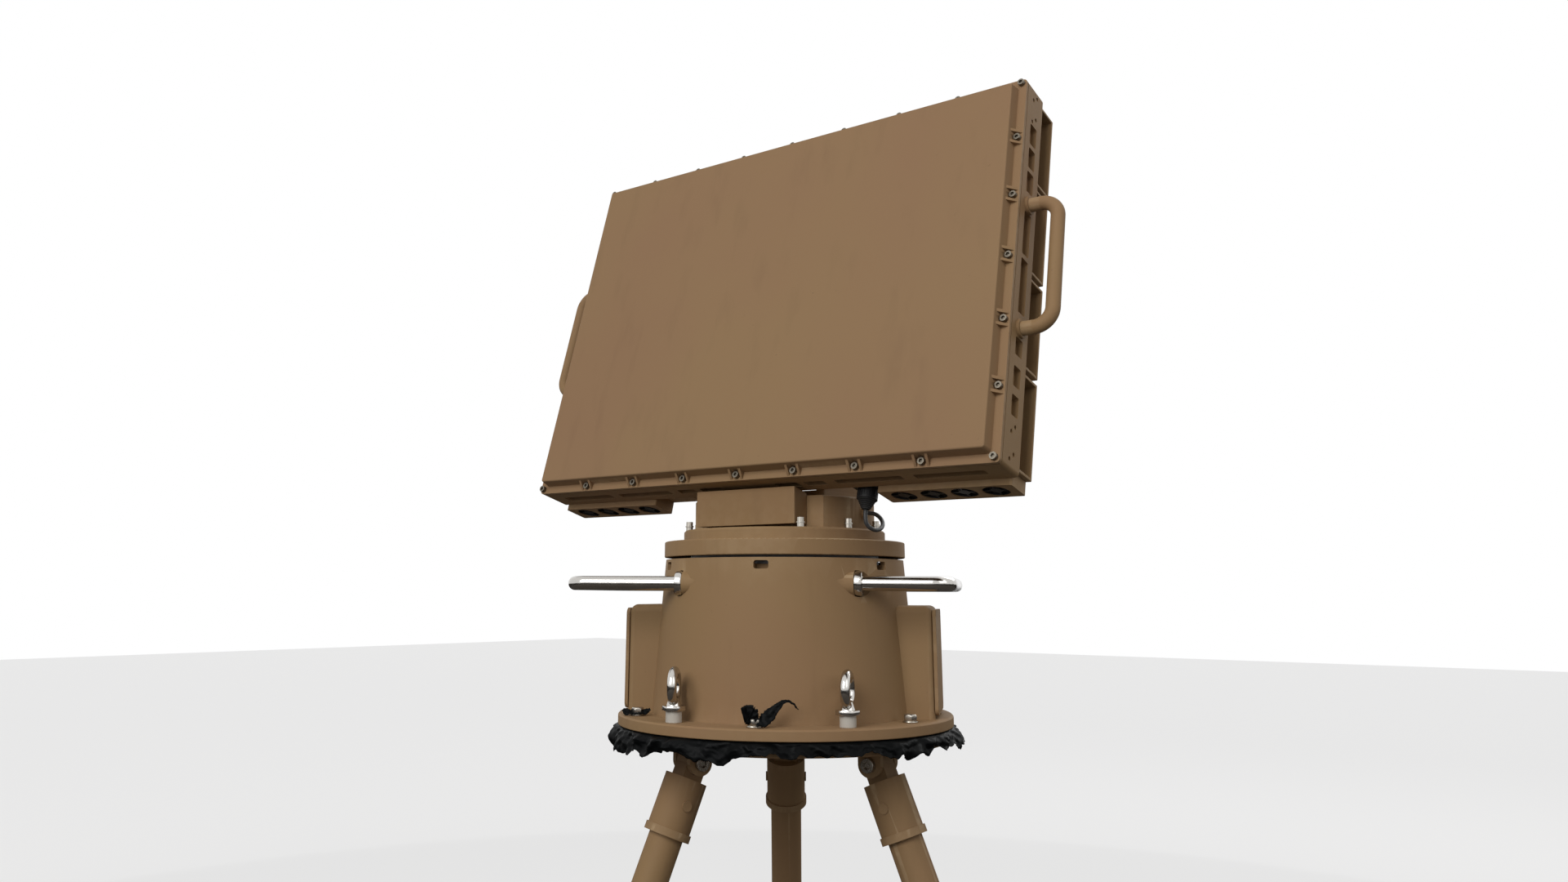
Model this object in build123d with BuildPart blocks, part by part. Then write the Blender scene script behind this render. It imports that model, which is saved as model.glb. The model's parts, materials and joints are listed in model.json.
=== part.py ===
from build123d import *
from math import acos, atan2, cos, degrees, pi, radians, sin, sqrt, tan
import os

os.makedirs("parts", exist_ok=True)

# A flat-panel ground radar: a tilting antenna panel on an azimuth pedestal, bolted to a low tripod.
# +Z is up and the azimuth axis is the Z axis. At rest the antenna looks along -Y and leans back.
# The origin is the mouth of the ballast socket, at the centre of the tripod head's underside.

# ---------------------------------------------------------------- antenna panel, as depths behind its face
face_width = 800.0
face_height = 566.0
radome_wall = 5.0
skirt_depth = 18.0
skirt_taper = 3.0
flange_width = 15.0
radome_flange = 6.0
gasket_thick = 1.0
frame_depth = 50.0
frame_wall = 22.0
frame_lip = 10.0
cold_plate_thick = 12.0
module_depth = 45.0
panel_lean = 15.0
face_forward = 60.0
face_centre_z = 658.0
screws_across = 9
screws_up = 7

# ---------------------------------------------------------------- rear modules and fans
bay_half_width = 150.0
module_inset = 3.0
module_rows = 4
module_gap = 8.0
module_wall = 4.0
module_margin = 10.0
recess_length = 60.0
fin_height = 8.0
fin_thick = 3.0
fin_pitch = 12.0
fans_per_side = 4
fan_pitch = 46.0
fan_size = 40.0
fan_depth = 10.0
fan_bore = 37.0
fan_drop = 9.0
fan_skin = 1.5
first_fan_x = 236.0
rotor_tip_gap = 0.8
fan_pin = 3.0

# ---------------------------------------------------------------- handles of the panel
grip_diameter = 20.0
grip_span = 194.0
grip_reach = 45.0
grip_bend = 26.0

# ---------------------------------------------------------------- tilt joint
pivot_back = 45.0
pivot_z = 436.0
tilt_travel = 25.0
tilt_pin_diameter = 20.0
ear_thick = 14.0
ear_inner_x = 59.6
side_gap = 0.4
clamp_radius = 80.0
clamp_diameter = 10.0
bracket_plate = 12.0
bracket_half_width = 110.0

# ---------------------------------------------------------------- turning head
neck_radius = 137.0
neck_flat = 70.0
neck_height = 46.0
neck_wall = 8.0
neck_deck = 10.0
cover_width = 180.0
cover_depth = 32.0
cover_front_height = 58.0
cover_slit = 5.5
turntable_radius = 152.5
turntable_thick = 17.0
turntable_bolt_circle = 145.0
turntable_bolt_turn = 14.5
cap_radius = 181.5
cap_height = 22.5
cap_plate = 8.0
cap_skirt = 8.0

# ---------------------------------------------------------------- pedestal
pedestal_turn = 25.0
flange_radius = 245.0
flange_thick = 15.0
drum_height = 218.0
drum_top_radius = 179.0
drum_foot_radius = 196.0
drum_wall = 8.0
deck_drop = 9.0
deck_thick = 8.0
turning_gap = 3.5
side_reach = 223.0
side_half_width = 66.0
side_height = 153.0
vent_width = 21.0
vent_height = 11.5
vent_corner = 3.2
vent_drop = 10.0
vent_count = 6
flange_bolt_circle = 222.0
flange_bolt_count = 6
eye_bolt_angle = 32.0

# ---------------------------------------------------------------- carrying rods of the pedestal
rod_diameter = 20.0
rod_half_spacing = 129.5
rod_bend = 22.0
rod_drop = 35.0
rod_out_right = 261.0
rod_out_left = 303.0
rod_inner_length = 206.0
collar_diameter = 34.0

# ---------------------------------------------------------------- azimuth drive
bearing_outer = 142.0
bearing_inner = 94.0
bearing_split = 117.3
bearing_height = 25.0
ball_diameter = 8.0
ball_count = 40
gear_module = 2.5
gear_teeth = 72
pinion_teeth = 18
gear_width = 14.0
gear_backlash = 0.25
slip_rotor_radius = 29.0
slip_gap = 1.5

# ---------------------------------------------------------------- tripod
head_radius = 236.0
head_thick = 20.0
film_thick = 0.6
film_radius = 270.0
film_drop = 30.0
socket_diameter = 16.0
socket_depth = 18.0
leg_angles = (5.0, 125.0, 245.0)
leg_pivot_radius = 150.0
leg_pivot_drop = 25.0
leg_splay = 22.0
leg_pin_diameter = 12.0
leg_eye_width = 36.0
leg_tube_radius = 24.0
leg_tube_end = 400.0
extension_radius = 19.5
extension_wall = 3.0
knuckle_radius = 30.0
floor_z = -600.0
foot_radius = 34.0
foot_thick = 12.0

running_fit = 0.05
seat_gap = 0.3

# ---------------------------------------------------------------- levels and planes that follow
film_top = head_thick + film_thick
flange_top = film_top + flange_thick
drum_top = flange_top + drum_height
deck_top = drum_top - deck_drop
cap_bottom = drum_top + turning_gap
cap_top = cap_bottom + cap_height
turntable_top = cap_top + turntable_thick
neck_top = turntable_top + neck_height
rod_height = drum_height - rod_drop

panel = Plane(
    origin=(0, -face_forward, face_centre_z),
    x_dir=(1, 0, 0),
    z_dir=(0, -cos(radians(panel_lean)), sin(radians(panel_lean))),
)
pedestal = Plane.XY.rotated((0, 0, pedestal_turn))

outer_width = face_width + 2 * flange_width
outer_height = face_height + 2 * flange_width
flange_back = skirt_depth + radome_flange
frame_front = flange_back + gasket_thick
frame_back = frame_front + frame_depth
module_back = frame_back + module_depth
screw_x_pitch = (outer_width - flange_width) / (screws_across - 1)
screw_y_pitch = (outer_height - flange_width) / (screws_up - 1)


def behind(depth, x=0.0, up=0.0):
    """Plane parallel to the antenna's face, at a depth behind it."""
    return Plane(
        origin=panel.from_local_coords((x, up, -depth)), x_dir=panel.x_dir, z_dir=panel.z_dir
    )


def finish(builder, label):
    """Name a finished piece and write its file."""
    builder.part.label = label
    export_step(builder.part, f"parts/{label}.step")


# ================================================================ radome and its fastening
screw_diameter = 6.0
screw_head = 10.0
screw_grip = 20.0
gusset_thick = 4.0
gusset_spacing = 19.0
gusset_reach = 11.0
gusset_rise = 14.0
gusset_root = 4.0
screw_clearance = 0.3
screw_spot_face = 1.6
hex_socket_radius = 2.9
hex_socket_depth = 3.0
radome_corner = 6.0

across_half = screws_across // 2
up_half = screws_up // 2
end_x = (outer_width - flange_width) / 2
end_y = (outer_height - flange_width) / 2
across_steps = range(-across_half, across_half + 1)
up_steps = range(1 - up_half, up_half)
screws_top_bottom = [(i * screw_x_pitch, side * end_y) for side in (-1, 1) for i in across_steps]
screws_left_right = [(side * end_x, i * screw_y_pitch) for side in (-1, 1) for i in up_steps]
screw_places = screws_top_bottom + screws_left_right
foot_x = face_width / 2 + skirt_taper
foot_y = face_height / 2 + skirt_taper
taper_angle = degrees(atan2(skirt_taper, skirt_depth))


def gusset(at, outward, along_face):
    """Triangular rib from the radome's skirt to its flange, beside a screw."""
    with BuildPart(mode=Mode.PRIVATE) as rib:
        with BuildSketch(Plane(origin=at, x_dir=outward, z_dir=along_face)):
            Polygon((-gusset_root, 0), (gusset_reach, 0), (-gusset_root, gusset_rise), align=None)
        extrude(amount=gusset_thick / 2, both=True)
    return rib.part


with BuildPart() as radome:
    with BuildSketch(behind(skirt_depth)):
        RectangleRounded(2 * foot_x, 2 * foot_y, radome_corner + 1)
    extrude(amount=skirt_depth, taper=taper_angle)
    fillet(radome.faces().sort_by(Axis(panel.origin, panel.z_dir)).last.edges(), radius=2.5)
    with BuildSketch(behind(flange_back)):
        RectangleRounded(outer_width, outer_height, radome_corner)
    extrude(amount=radome_flange)
    side_out = {1: panel.x_dir, -1: -panel.x_dir}
    side_up = {1: panel.y_dir, -1: -panel.y_dir}
    for x, y in screws_left_right:
        for step in (-0.5, 0.5):
            side = 1 if x > 0 else -1
            spot = panel.from_local_coords((side * foot_x, y + step * gusset_spacing, -skirt_depth))
            add(gusset(spot, side_out[side], panel.y_dir if side < 0 else -panel.y_dir))
    for x, y in screws_top_bottom[1:-1]:
        if abs(x) < end_x - 1:
            for step in (-0.5, 0.5):
                side = 1 if y > 0 else -1
                spot = panel.from_local_coords((x + step * gusset_spacing, side * foot_y, -skirt_depth))
                add(gusset(spot, side_up[side], panel.x_dir if side > 0 else -panel.x_dir))
    with BuildSketch(behind(flange_back + 1)):
        Rectangle(2 * (face_width / 2 - radome_wall), 2 * (face_height / 2 - radome_wall))
    extrude(amount=flange_back + 1 - radome_wall, mode=Mode.SUBTRACT)
    with BuildSketch(behind(skirt_depth)):
        with Locations(*screw_places):
            Circle(screw_head / 2 + screw_spot_face)
    extrude(amount=skirt_depth - 4, mode=Mode.SUBTRACT)
    with BuildSketch(behind(flange_back + 1)):
        with Locations(*screw_places):
            Circle(screw_diameter / 2 + screw_clearance)
    extrude(amount=radome_flange + 2, mode=Mode.SUBTRACT)
finish(radome, "radome")

with BuildPart() as radome_gasket:
    with BuildSketch(behind(frame_front)):
        RectangleRounded(outer_width - 2, outer_height - 2, 5)
        Rectangle(face_width - 2 * radome_wall, face_height - 2 * radome_wall, mode=Mode.SUBTRACT)
        with Locations(*screw_places):
            Circle(screw_diameter / 2 + screw_clearance, mode=Mode.SUBTRACT)
    extrude(amount=gasket_thick)
finish(radome_gasket, "radome_gasket")

with BuildPart() as radome_screws:
    with BuildSketch(behind(skirt_depth)):
        with Locations(*screw_places):
            Circle(screw_head / 2)
    extrude(amount=screw_diameter)
    with BuildSketch(behind(skirt_depth - screw_diameter)):
        with Locations(*screw_places):
            RegularPolygon(hex_socket_radius, 6)
    extrude(amount=-hex_socket_depth, mode=Mode.SUBTRACT)
    with BuildSketch(behind(skirt_depth)):
        with Locations(*screw_places):
            Circle(screw_diameter / 2)
    extrude(amount=-screw_grip)
finish(radome_screws, "radome_screws")

# ================================================================ frame
pocket_depth = 9.0
side_pockets = [
    (215, 34),
    (174.5, 33),
    (134, 34),
    (50, 68),
    (-33, 84),
    (-125, 26),
    (-168.5, 29),
    (-209.5, 29),
]
side_pocket_height = 21.0
accessory_holes = (243.0, 281.0, -241.5, -279.0)
accessory_hole_radius = 3.0
floor_pockets = [(70, 40), (118, 34), (206, 106), (330, 104)]
floor_pocket_height = 16.0
boss_diameter = 27.0
boss_height = 4.0
frame_mid = frame_front + frame_depth / 2
screw_hole_end = skirt_depth + screw_grip + 1
plate_lip_thick = 8.0
accessory_hole_step = (4.5, -5.5)
accessory_hole_depth = 8.0
grip_seat = 10.0

with BuildPart() as antenna_frame:
    with BuildSketch(behind(frame_back)):
        RectangleRounded(outer_width, outer_height, radome_corner)
        Rectangle(outer_width - 2 * frame_wall, outer_height - 2 * frame_wall, mode=Mode.SUBTRACT)
    extrude(amount=frame_depth)
    with BuildSketch(behind(frame_back - cold_plate_thick)):
        Rectangle(outer_width - 2 * frame_wall, outer_height - 2 * frame_wall)
        Rectangle(
            outer_width - 2 * frame_wall - 2 * frame_lip,
            outer_height - 2 * frame_wall - 2 * frame_lip,
            mode=Mode.SUBTRACT,
        )
    extrude(amount=plate_lip_thick)
    for side in (-1, 1):
        side_plane = Plane(
            origin=panel.from_local_coords((side * outer_width / 2, 0, -frame_mid)),
            x_dir=panel.y_dir,
            z_dir=side * panel.x_dir,
        )
        with BuildSketch(side_plane.offset(1)):
            for middle, length in side_pockets:
                with Locations((middle, 0)):
                    RectangleRounded(length, side_pocket_height, 3)
        extrude(amount=-pocket_depth - 1, mode=Mode.SUBTRACT)
        with BuildSketch(side_plane.offset(1)):
            along, across = accessory_hole_step
            for middle in accessory_holes:
                with Locations((middle - along, -across), (middle + along, across)):
                    Circle(accessory_hole_radius)
        extrude(amount=-accessory_hole_depth - 1, mode=Mode.SUBTRACT)
        with BuildSketch(side_plane.offset(-1)):
            with Locations((grip_span / 2, 0), (-grip_span / 2, 0)):
                Circle(boss_diameter / 2)
        extrude(amount=boss_height + 1)
        with BuildSketch(side_plane.offset(boss_height + 1)):
            with Locations((grip_span / 2, 0), (-grip_span / 2, 0)):
                Circle(grip_diameter / 2 + running_fit)
        extrude(amount=-grip_seat - 1, mode=Mode.SUBTRACT)
    floor_plane = Plane(
        origin=panel.from_local_coords((0, -outer_height / 2, -frame_mid)),
        x_dir=panel.x_dir,
        z_dir=-panel.y_dir,
    )
    with BuildSketch(floor_plane.offset(1)):
        for middle, length in floor_pockets:
            with Locations((middle, 0), (-middle, 0)):
                RectangleRounded(length, floor_pocket_height, 3)
    extrude(amount=-pocket_depth - 1, mode=Mode.SUBTRACT)
    with BuildSketch(behind(screw_hole_end)):
        with Locations(*screw_places):
            Circle(screw_diameter / 2 + running_fit)
    extrude(amount=screw_hole_end, mode=Mode.SUBTRACT)
finish(antenna_frame, "antenna_frame")

# ================================================================ inside the panel
inner_width = outer_width - 2 * frame_wall - 2 * seat_gap
inner_height = outer_height - 2 * frame_wall - 2 * seat_gap
array_front = 10.0
array_thick = 4.0
array_width = face_width - 2 * radome_wall - 20
array_height = face_height - 2 * radome_wall - 20
patch_size = 26.0
patch_pitch = 40.0
patch_columns = 18
patch_rows = 12
tr_width = 174.0
tr_height = 240.0
tr_wall = 3.0
tr_depth = frame_back - cold_plate_thick - array_front - array_thick

with BuildPart() as cold_plate:
    with BuildSketch(behind(frame_back)):
        Rectangle(inner_width, inner_height)
    extrude(amount=cold_plate_thick)
finish(cold_plate, "cold_plate")

with BuildPart() as array_board:
    with BuildSketch(behind(array_front + array_thick)):
        Rectangle(array_width, array_height)
    extrude(amount=array_thick)
    with BuildSketch(behind(array_front)):
        with GridLocations(patch_pitch, patch_pitch, patch_columns, patch_rows):
            Rectangle(patch_size, patch_size)
    extrude(amount=0.5)
finish(array_board, "array_board")

with BuildPart() as transceiver_modules:
    with BuildSketch(behind(frame_back - cold_plate_thick)):
        with GridLocations(tr_width + 12, tr_height + 12, 4, 2):
            RectangleRounded(tr_width, tr_height, 4)
    extrude(amount=tr_depth)
    with BuildSketch(behind(frame_back - cold_plate_thick)):
        with GridLocations(tr_width + 12, tr_height + 12, 4, 2):
            RectangleRounded(tr_width - 2 * tr_wall, tr_height - 2 * tr_wall, 3)
    extrude(amount=tr_depth - tr_wall, mode=Mode.SUBTRACT)
finish(transceiver_modules, "transceiver_modules")

# ================================================================ rear modules
module_length = outer_width / 2 - module_inset - bay_half_width
module_pitch = (outer_height - 2 * module_margin + module_gap) / module_rows
module_height = module_pitch - module_gap
module_centres = [(i - (module_rows - 1) / 2) * module_pitch for i in range(module_rows)]
fin_room = module_length - recess_length - 24
fin_count = int(fin_room / fin_pitch)

for side, name in ((-1, "left"), (1, "right")):
    module_x = side * (bay_half_width + module_length / 2)
    recess_x = side * (outer_width / 2 - module_inset - recess_length / 2)
    cavity_x = module_x - side * recess_length / 2
    with BuildPart() as rear_modules:
        with BuildSketch(behind(module_back)):
            for centre in module_centres:
                with Locations((module_x, centre)):
                    Rectangle(module_length, module_height)
        extrude(amount=module_depth)
        with BuildSketch(behind(module_back - module_wall)):
            for centre in module_centres:
                with Locations((recess_x + side, centre)):
                    Rectangle(recess_length + 2, module_height - 2 * module_wall)
        extrude(amount=module_depth, mode=Mode.SUBTRACT)
        with BuildSketch(behind(module_back - module_wall - fin_height)):
            for centre in module_centres:
                with Locations((cavity_x, centre)):
                    Rectangle(
                        module_length - recess_length - 2 * module_wall,
                        module_height - 2 * module_wall,
                    )
        extrude(amount=module_depth, mode=Mode.SUBTRACT)
        with BuildSketch(behind(module_back)):
            for centre in module_centres:
                with Locations((cavity_x, centre)):
                    with GridLocations(fin_pitch, 1, fin_count, 1):
                        Rectangle(fin_pitch - fin_thick, module_height - 4 * module_wall)
        extrude(amount=fin_height, mode=Mode.SUBTRACT)
    finish(rear_modules, f"rear_modules_{name}")

# ================================================================ fans under the rear modules
rail_start = first_fan_x - fan_pitch / 2 - 8
rail_end = first_fan_x + (fans_per_side - 0.5) * fan_pitch + 8
rail_floor = -outer_height / 2 - fan_drop
rail_top = -outer_height / 2 + module_margin - seat_gap
rail_height = rail_top - rail_floor
rail_mid = frame_back + module_depth / 2
fan_xs = [side * (first_fan_x + i * fan_pitch) for side in (-1, 1) for i in range(fans_per_side)]


def fan_level(height, x=0.0):
    """Plane across a fan's axis, at a height above the fan rail's floor."""
    return Plane(
        origin=panel.from_local_coords((x, rail_floor + height, -rail_mid)),
        x_dir=panel.x_dir,
        z_dir=panel.y_dir,
    )


with BuildPart() as fan_rails:
    for side in (-1, 1):
        with BuildSketch(fan_level(0, side * (rail_start + rail_end) / 2)):
            RectangleRounded(rail_end - rail_start, module_depth - 0.5, 3)
        extrude(amount=rail_height)
    with BuildSketch(fan_level(fan_skin)):
        with Locations(*[(x, 0) for x in fan_xs]):
            Rectangle(fan_size + 0.4, fan_size + 0.4)
    extrude(amount=rail_height, mode=Mode.SUBTRACT)
    with BuildSketch(fan_level(-1)):
        with Locations(*[(x, 0) for x in fan_xs]):
            Circle(fan_bore / 2)
    extrude(amount=fan_skin + 2, mode=Mode.SUBTRACT)
finish(fan_rails, "fan_rails")

hub_radius = 9.0
strut_width = 2.0
strut_thick = 1.5

with BuildPart() as fan_frames:
    with BuildSketch(fan_level(fan_skin)):
        with Locations(*[(x, 0) for x in fan_xs]):
            Rectangle(fan_size, fan_size)
            Circle(fan_bore / 2, mode=Mode.SUBTRACT)
    extrude(amount=fan_depth)
    with BuildSketch(fan_level(fan_skin)):
        for x in fan_xs:
            with Locations((x, 0)):
                Circle(hub_radius - 1)
                Rectangle(fan_bore + 1, strut_width)
                Rectangle(strut_width, fan_bore + 1)
    extrude(amount=strut_thick)
    with BuildSketch(fan_level(fan_skin)):
        with Locations(*[(x, 0) for x in fan_xs]):
            Circle(fan_pin / 2)
    extrude(amount=fan_depth - 1)
finish(fan_frames, "fan_frames")

blade_count = 7
blade_pitch_angle = 32.0
rotor_base = fan_skin + strut_thick + seat_gap
rotor_height = fan_depth - strut_thick - 2 * seat_gap
blade_reach = fan_bore / 2 - rotor_tip_gap

for number, x in enumerate(fan_xs, 1):
    with BuildPart(fan_level(rotor_base, x)) as fan_rotor:
        with PolarLocations(blade_reach / 2 + 2, blade_count):
            Box(
                blade_reach - 4,
                1.0,
                rotor_height + 1,
                rotation=(blade_pitch_angle, 0, 0),
                align=(Align.CENTER, Align.CENTER, Align.CENTER),
            )
        Cylinder(
            blade_reach,
            rotor_height,
            align=(Align.CENTER, Align.CENTER, Align.MIN),
            mode=Mode.INTERSECT,
        )
        Cylinder(hub_radius, rotor_height, align=(Align.CENTER, Align.CENTER, Align.MIN))
        Cylinder(fan_pin / 2 + running_fit, 4 * rotor_height, mode=Mode.SUBTRACT)
    finish(fan_rotor, f"fan_rotor_{number}")

# ================================================================ panel handles
for side, name in ((-1, "left"), (1, "right")):
    wall_x = side * (outer_width / 2 + boss_height - grip_seat)
    grip_x = side * (outer_width / 2 + grip_reach)
    top_corner = panel.from_local_coords((grip_x, grip_span / 2, -frame_mid))
    low_corner = panel.from_local_coords((grip_x, -grip_span / 2, -frame_mid))
    top_root = panel.from_local_coords((wall_x, grip_span / 2, -frame_mid))
    low_root = panel.from_local_coords((wall_x, -grip_span / 2, -frame_mid))
    with BuildPart() as panel_handle:
        with BuildLine() as grip_path:
            FilletPolyline(top_root, top_corner, low_corner, low_root, radius=grip_bend)
        with BuildSketch(Plane(origin=top_root, z_dir=grip_path.line % 0)):
            Circle(grip_diameter / 2)
        sweep()
    finish(panel_handle, f"panel_handle_{name}")

# ================================================================ tilt joint, profiles drawn in Y and Z
pivot = Vector(0, pivot_back, pivot_z)
pivot_local = panel.to_local_coords(pivot)
ear_round = 27.0
ear_outer_x = ear_inner_x + ear_thick
cheek_inner_x = ear_outer_x + side_gap
cheek_outer_x = cheek_inner_x + ear_thick
lean_back = Vector(0, sin(radians(panel_lean)), cos(radians(panel_lean)))
clamp_point = pivot + lean_back * clamp_radius
plate_top = pivot_local.Y + clamp_radius + 60
plate_foot = -outer_height / 2 + frame_wall + 4
plate_back = frame_back + bracket_plate
side_profile = Plane.YZ


def profile_point(depth, up):
    """Point of the panel's side profile, as Y and Z."""
    spot = panel.from_local_coords((0, up, -depth))
    return (spot.Y, spot.Z)


with BuildPart() as tilt_bracket:
    with BuildSketch(behind(plate_back, 0, (plate_top + plate_foot) / 2)):
        RectangleRounded(2 * bracket_half_width, plate_top - plate_foot, 8)
    extrude(amount=bracket_plate)
    for side in (-1, 1):
        with BuildSketch(side_profile.offset(side * (ear_inner_x + ear_thick / 2))):
            with BuildLine():
                Polyline(
                    profile_point(plate_back - 1, pivot_local.Y - 52),
                    profile_point(plate_back - 1, pivot_local.Y + clamp_radius + 46),
                    profile_point(-pivot_local.Z, pivot_local.Y + clamp_radius),
                    profile_point(-pivot_local.Z, pivot_local.Y),
                    close=True,
                )
            make_face()
            with Locations((pivot.Y, pivot.Z)):
                Circle(ear_round)
            with Locations((clamp_point.Y, clamp_point.Z)):
                Circle(16)
            with Locations((pivot.Y, pivot.Z)):
                Circle(tilt_pin_diameter / 2 + running_fit, mode=Mode.SUBTRACT)
            with Locations((clamp_point.Y, clamp_point.Z)):
                Circle(clamp_diameter / 2 + running_fit, mode=Mode.SUBTRACT)
        extrude(amount=ear_thick / 2, both=True)
finish(tilt_bracket, "tilt_bracket")

slot_start = 90 - panel_lean - tilt_travel - 1
slot_sweep = tilt_travel + 2
slot_half = clamp_diameter / 2 + 0.3
yoke_base_thick = 11.0
yoke_base_back = 118.0
yoke_base_front = 34.0
yoke_half_width = 92.0

with BuildPart() as tilt_yoke:
    for side in (-1, 1):
        with BuildSketch(side_profile.offset(side * (cheek_inner_x + ear_thick / 2))):
            with BuildLine():
                Polyline(
                    (-yoke_base_front + 6, neck_top),
                    (yoke_base_back - 6, neck_top),
                    (pivot_back + 66, pivot_z + 4),
                    (pivot_back - ear_round + 2, pivot_z + 4),
                    close=True,
                )
            make_face()
            with Locations((pivot_back, pivot_z)):
                Circle(ear_round)
            with BuildLine():
                band_start = slot_start - 12
                band_sweep = slot_sweep + 16
                outer_arc = CenterArc((pivot_back, pivot_z), clamp_radius + 14, band_start, band_sweep)
                inner_arc = CenterArc((pivot_back, pivot_z), 8, band_start, band_sweep)
                Line(outer_arc @ 0, inner_arc @ 0)
                Line(outer_arc @ 1, inner_arc @ 1)
            make_face()
            with BuildLine():
                slot_far = CenterArc((pivot_back, pivot_z), clamp_radius + slot_half, slot_start, slot_sweep)
                slot_near = CenterArc((pivot_back, pivot_z), clamp_radius - slot_half, slot_start, slot_sweep)
                Line(slot_far @ 0, slot_near @ 0)
                Line(slot_far @ 1, slot_near @ 1)
            make_face(mode=Mode.SUBTRACT)
            with Locations((slot_far @ 0 + slot_near @ 0) / 2, (slot_far @ 1 + slot_near @ 1) / 2):
                Circle(slot_half, mode=Mode.SUBTRACT)
            with Locations((pivot_back, pivot_z)):
                Circle(tilt_pin_diameter / 2 + running_fit, mode=Mode.SUBTRACT)
        extrude(amount=ear_thick / 2, both=True)
    with BuildSketch(Plane.XY.offset(neck_top)):
        with Locations((0, (yoke_base_back - yoke_base_front) / 2)):
            RectangleRounded(2 * yoke_half_width, yoke_base_back + yoke_base_front, 8)
    extrude(amount=yoke_base_thick)
    with Locations(Plane.XY.offset(neck_top + yoke_base_thick)):
        with Locations((0, (yoke_base_back - yoke_base_front) / 2)):
            with GridLocations(100, 110, 2, 2):
                CounterBoreHole(4.2, 7.0, 5.0, depth=yoke_base_thick)
finish(tilt_yoke, "tilt_yoke")

pin_head = 17.0
pin_half = cheek_outer_x + 3

with BuildPart() as tilt_pin:
    with BuildSketch(side_profile.offset(-pin_half)):
        with Locations((pivot_back, pivot_z)):
            Circle(tilt_pin_diameter / 2)
    extrude(amount=2 * pin_half)
    for side in (-1, 1):
        with BuildSketch(side_profile.offset(side * (cheek_outer_x + 0.2))):
            with Locations((pivot_back, pivot_z)):
                RegularPolygon(pin_head, 6) if side > 0 else Circle(pin_head)
        extrude(amount=side * 9)
finish(tilt_pin, "tilt_pin")

with BuildPart() as clamp_knobs:
    for side in (-1, 1):
        with BuildSketch(side_profile.offset(side * (ear_inner_x - 6))):
            with Locations((clamp_point.Y, clamp_point.Z)):
                Circle(clamp_diameter / 2)
        extrude(amount=side * (cheek_outer_x - ear_inner_x + 12))
        with BuildSketch(side_profile.offset(side * (ear_inner_x - 0.1))):
            with Locations((clamp_point.Y, clamp_point.Z)):
                RegularPolygon(9, 6)
        extrude(amount=-side * 6)
        with BuildSketch(side_profile.offset(side * (cheek_outer_x + seat_gap))):
            with Locations((clamp_point.Y, clamp_point.Z)):
                Circle(11)
        extrude(amount=side * 4)
        with BuildSketch(side_profile.offset(side * (cheek_outer_x + seat_gap + 4))):
            with Locations((clamp_point.Y, clamp_point.Z)):
                Circle(13)
                with PolarLocations(13, 5):
                    Circle(5)
        extrude(amount=side * 14)
finish(clamp_knobs, "clamp_knobs")

# ================================================================ turning head
turntable_chamfer = 2.5
bolt_thread = 6.0
bolt_head = 10.0
bolt_washer = 12.5
washer_thick = 1.6
bolt_collar = 10.4
bolt_collar_height = 5.5
bolt_seat = turntable_top + bolt_collar_height
hub_bore = 26.0
neck_bore_flat = neck_flat - neck_wall
# twelve places round the circle, without the two in front of the service cover
turntable_bolt_angles = [radians(turntable_bolt_turn + 30 * i) for i in range(12) if i not in (8, 9)]
turntable_bolt_spots = [
    (turntable_bolt_circle * cos(angle), turntable_bolt_circle * sin(angle)) for angle in turntable_bolt_angles
]

with BuildPart() as turntable_plate:
    with BuildSketch(Plane.XY.offset(cap_top)):
        Circle(turntable_radius)
        Circle(hub_bore, mode=Mode.SUBTRACT)
        with Locations(*turntable_bolt_spots):
            Circle(bolt_thread / 2 + running_fit, mode=Mode.SUBTRACT)
    extrude(amount=turntable_thick)
    rim = turntable_plate.edges().filter_by(GeomType.CIRCLE).filter_by(lambda e: e.radius > hub_bore + 60)
    chamfer(rim.group_by(Axis.Z)[-1], length=turntable_chamfer)
finish(turntable_plate, "turntable_plate")

with BuildPart() as turntable_bolts:
    with BuildSketch(Plane.XY.offset(turntable_top)):
        with Locations(*turntable_bolt_spots):
            Circle(bolt_collar / 2)
    extrude(amount=bolt_collar_height)
    with BuildSketch(Plane.XY.offset(bolt_seat)):
        with Locations(*turntable_bolt_spots):
            Circle(bolt_washer / 2)
    extrude(amount=washer_thick)
    with BuildSketch(Plane.XY.offset(bolt_seat + washer_thick)):
        with Locations(*turntable_bolt_spots):
            Circle(bolt_head / 2)
    extrude(amount=bolt_thread)
    with BuildSketch(Plane.XY.offset(bolt_seat + washer_thick + bolt_thread)):
        with Locations(*turntable_bolt_spots):
            RegularPolygon(2.9, 6)
    extrude(amount=-3, mode=Mode.SUBTRACT)
    with BuildSketch(Plane.XY.offset(cap_top + 1)):
        with Locations(*turntable_bolt_spots):
            Circle(bolt_thread / 2)
    extrude(amount=turntable_thick)
finish(turntable_bolts, "turntable_bolts")

with BuildPart() as rim_cap:
    with BuildSketch(Plane.XY.offset(cap_top - cap_plate)):
        Circle(cap_radius)
        Circle(hub_bore + 34, mode=Mode.SUBTRACT)
    extrude(amount=cap_plate)
    with BuildSketch(Plane.XY.offset(cap_bottom)):
        Circle(cap_radius)
        Circle(cap_radius - cap_skirt, mode=Mode.SUBTRACT)
    extrude(amount=cap_height - cap_plate)
    rim = rim_cap.edges().filter_by(GeomType.CIRCLE).filter_by(lambda e: e.radius > cap_radius - 0.5)
    fillet(rim.group_by(Axis.Z)[-1], radius=2.0)
    fillet(rim.group_by(Axis.Z)[0], radius=1.2)
finish(rim_cap, "rim_cap")

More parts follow.
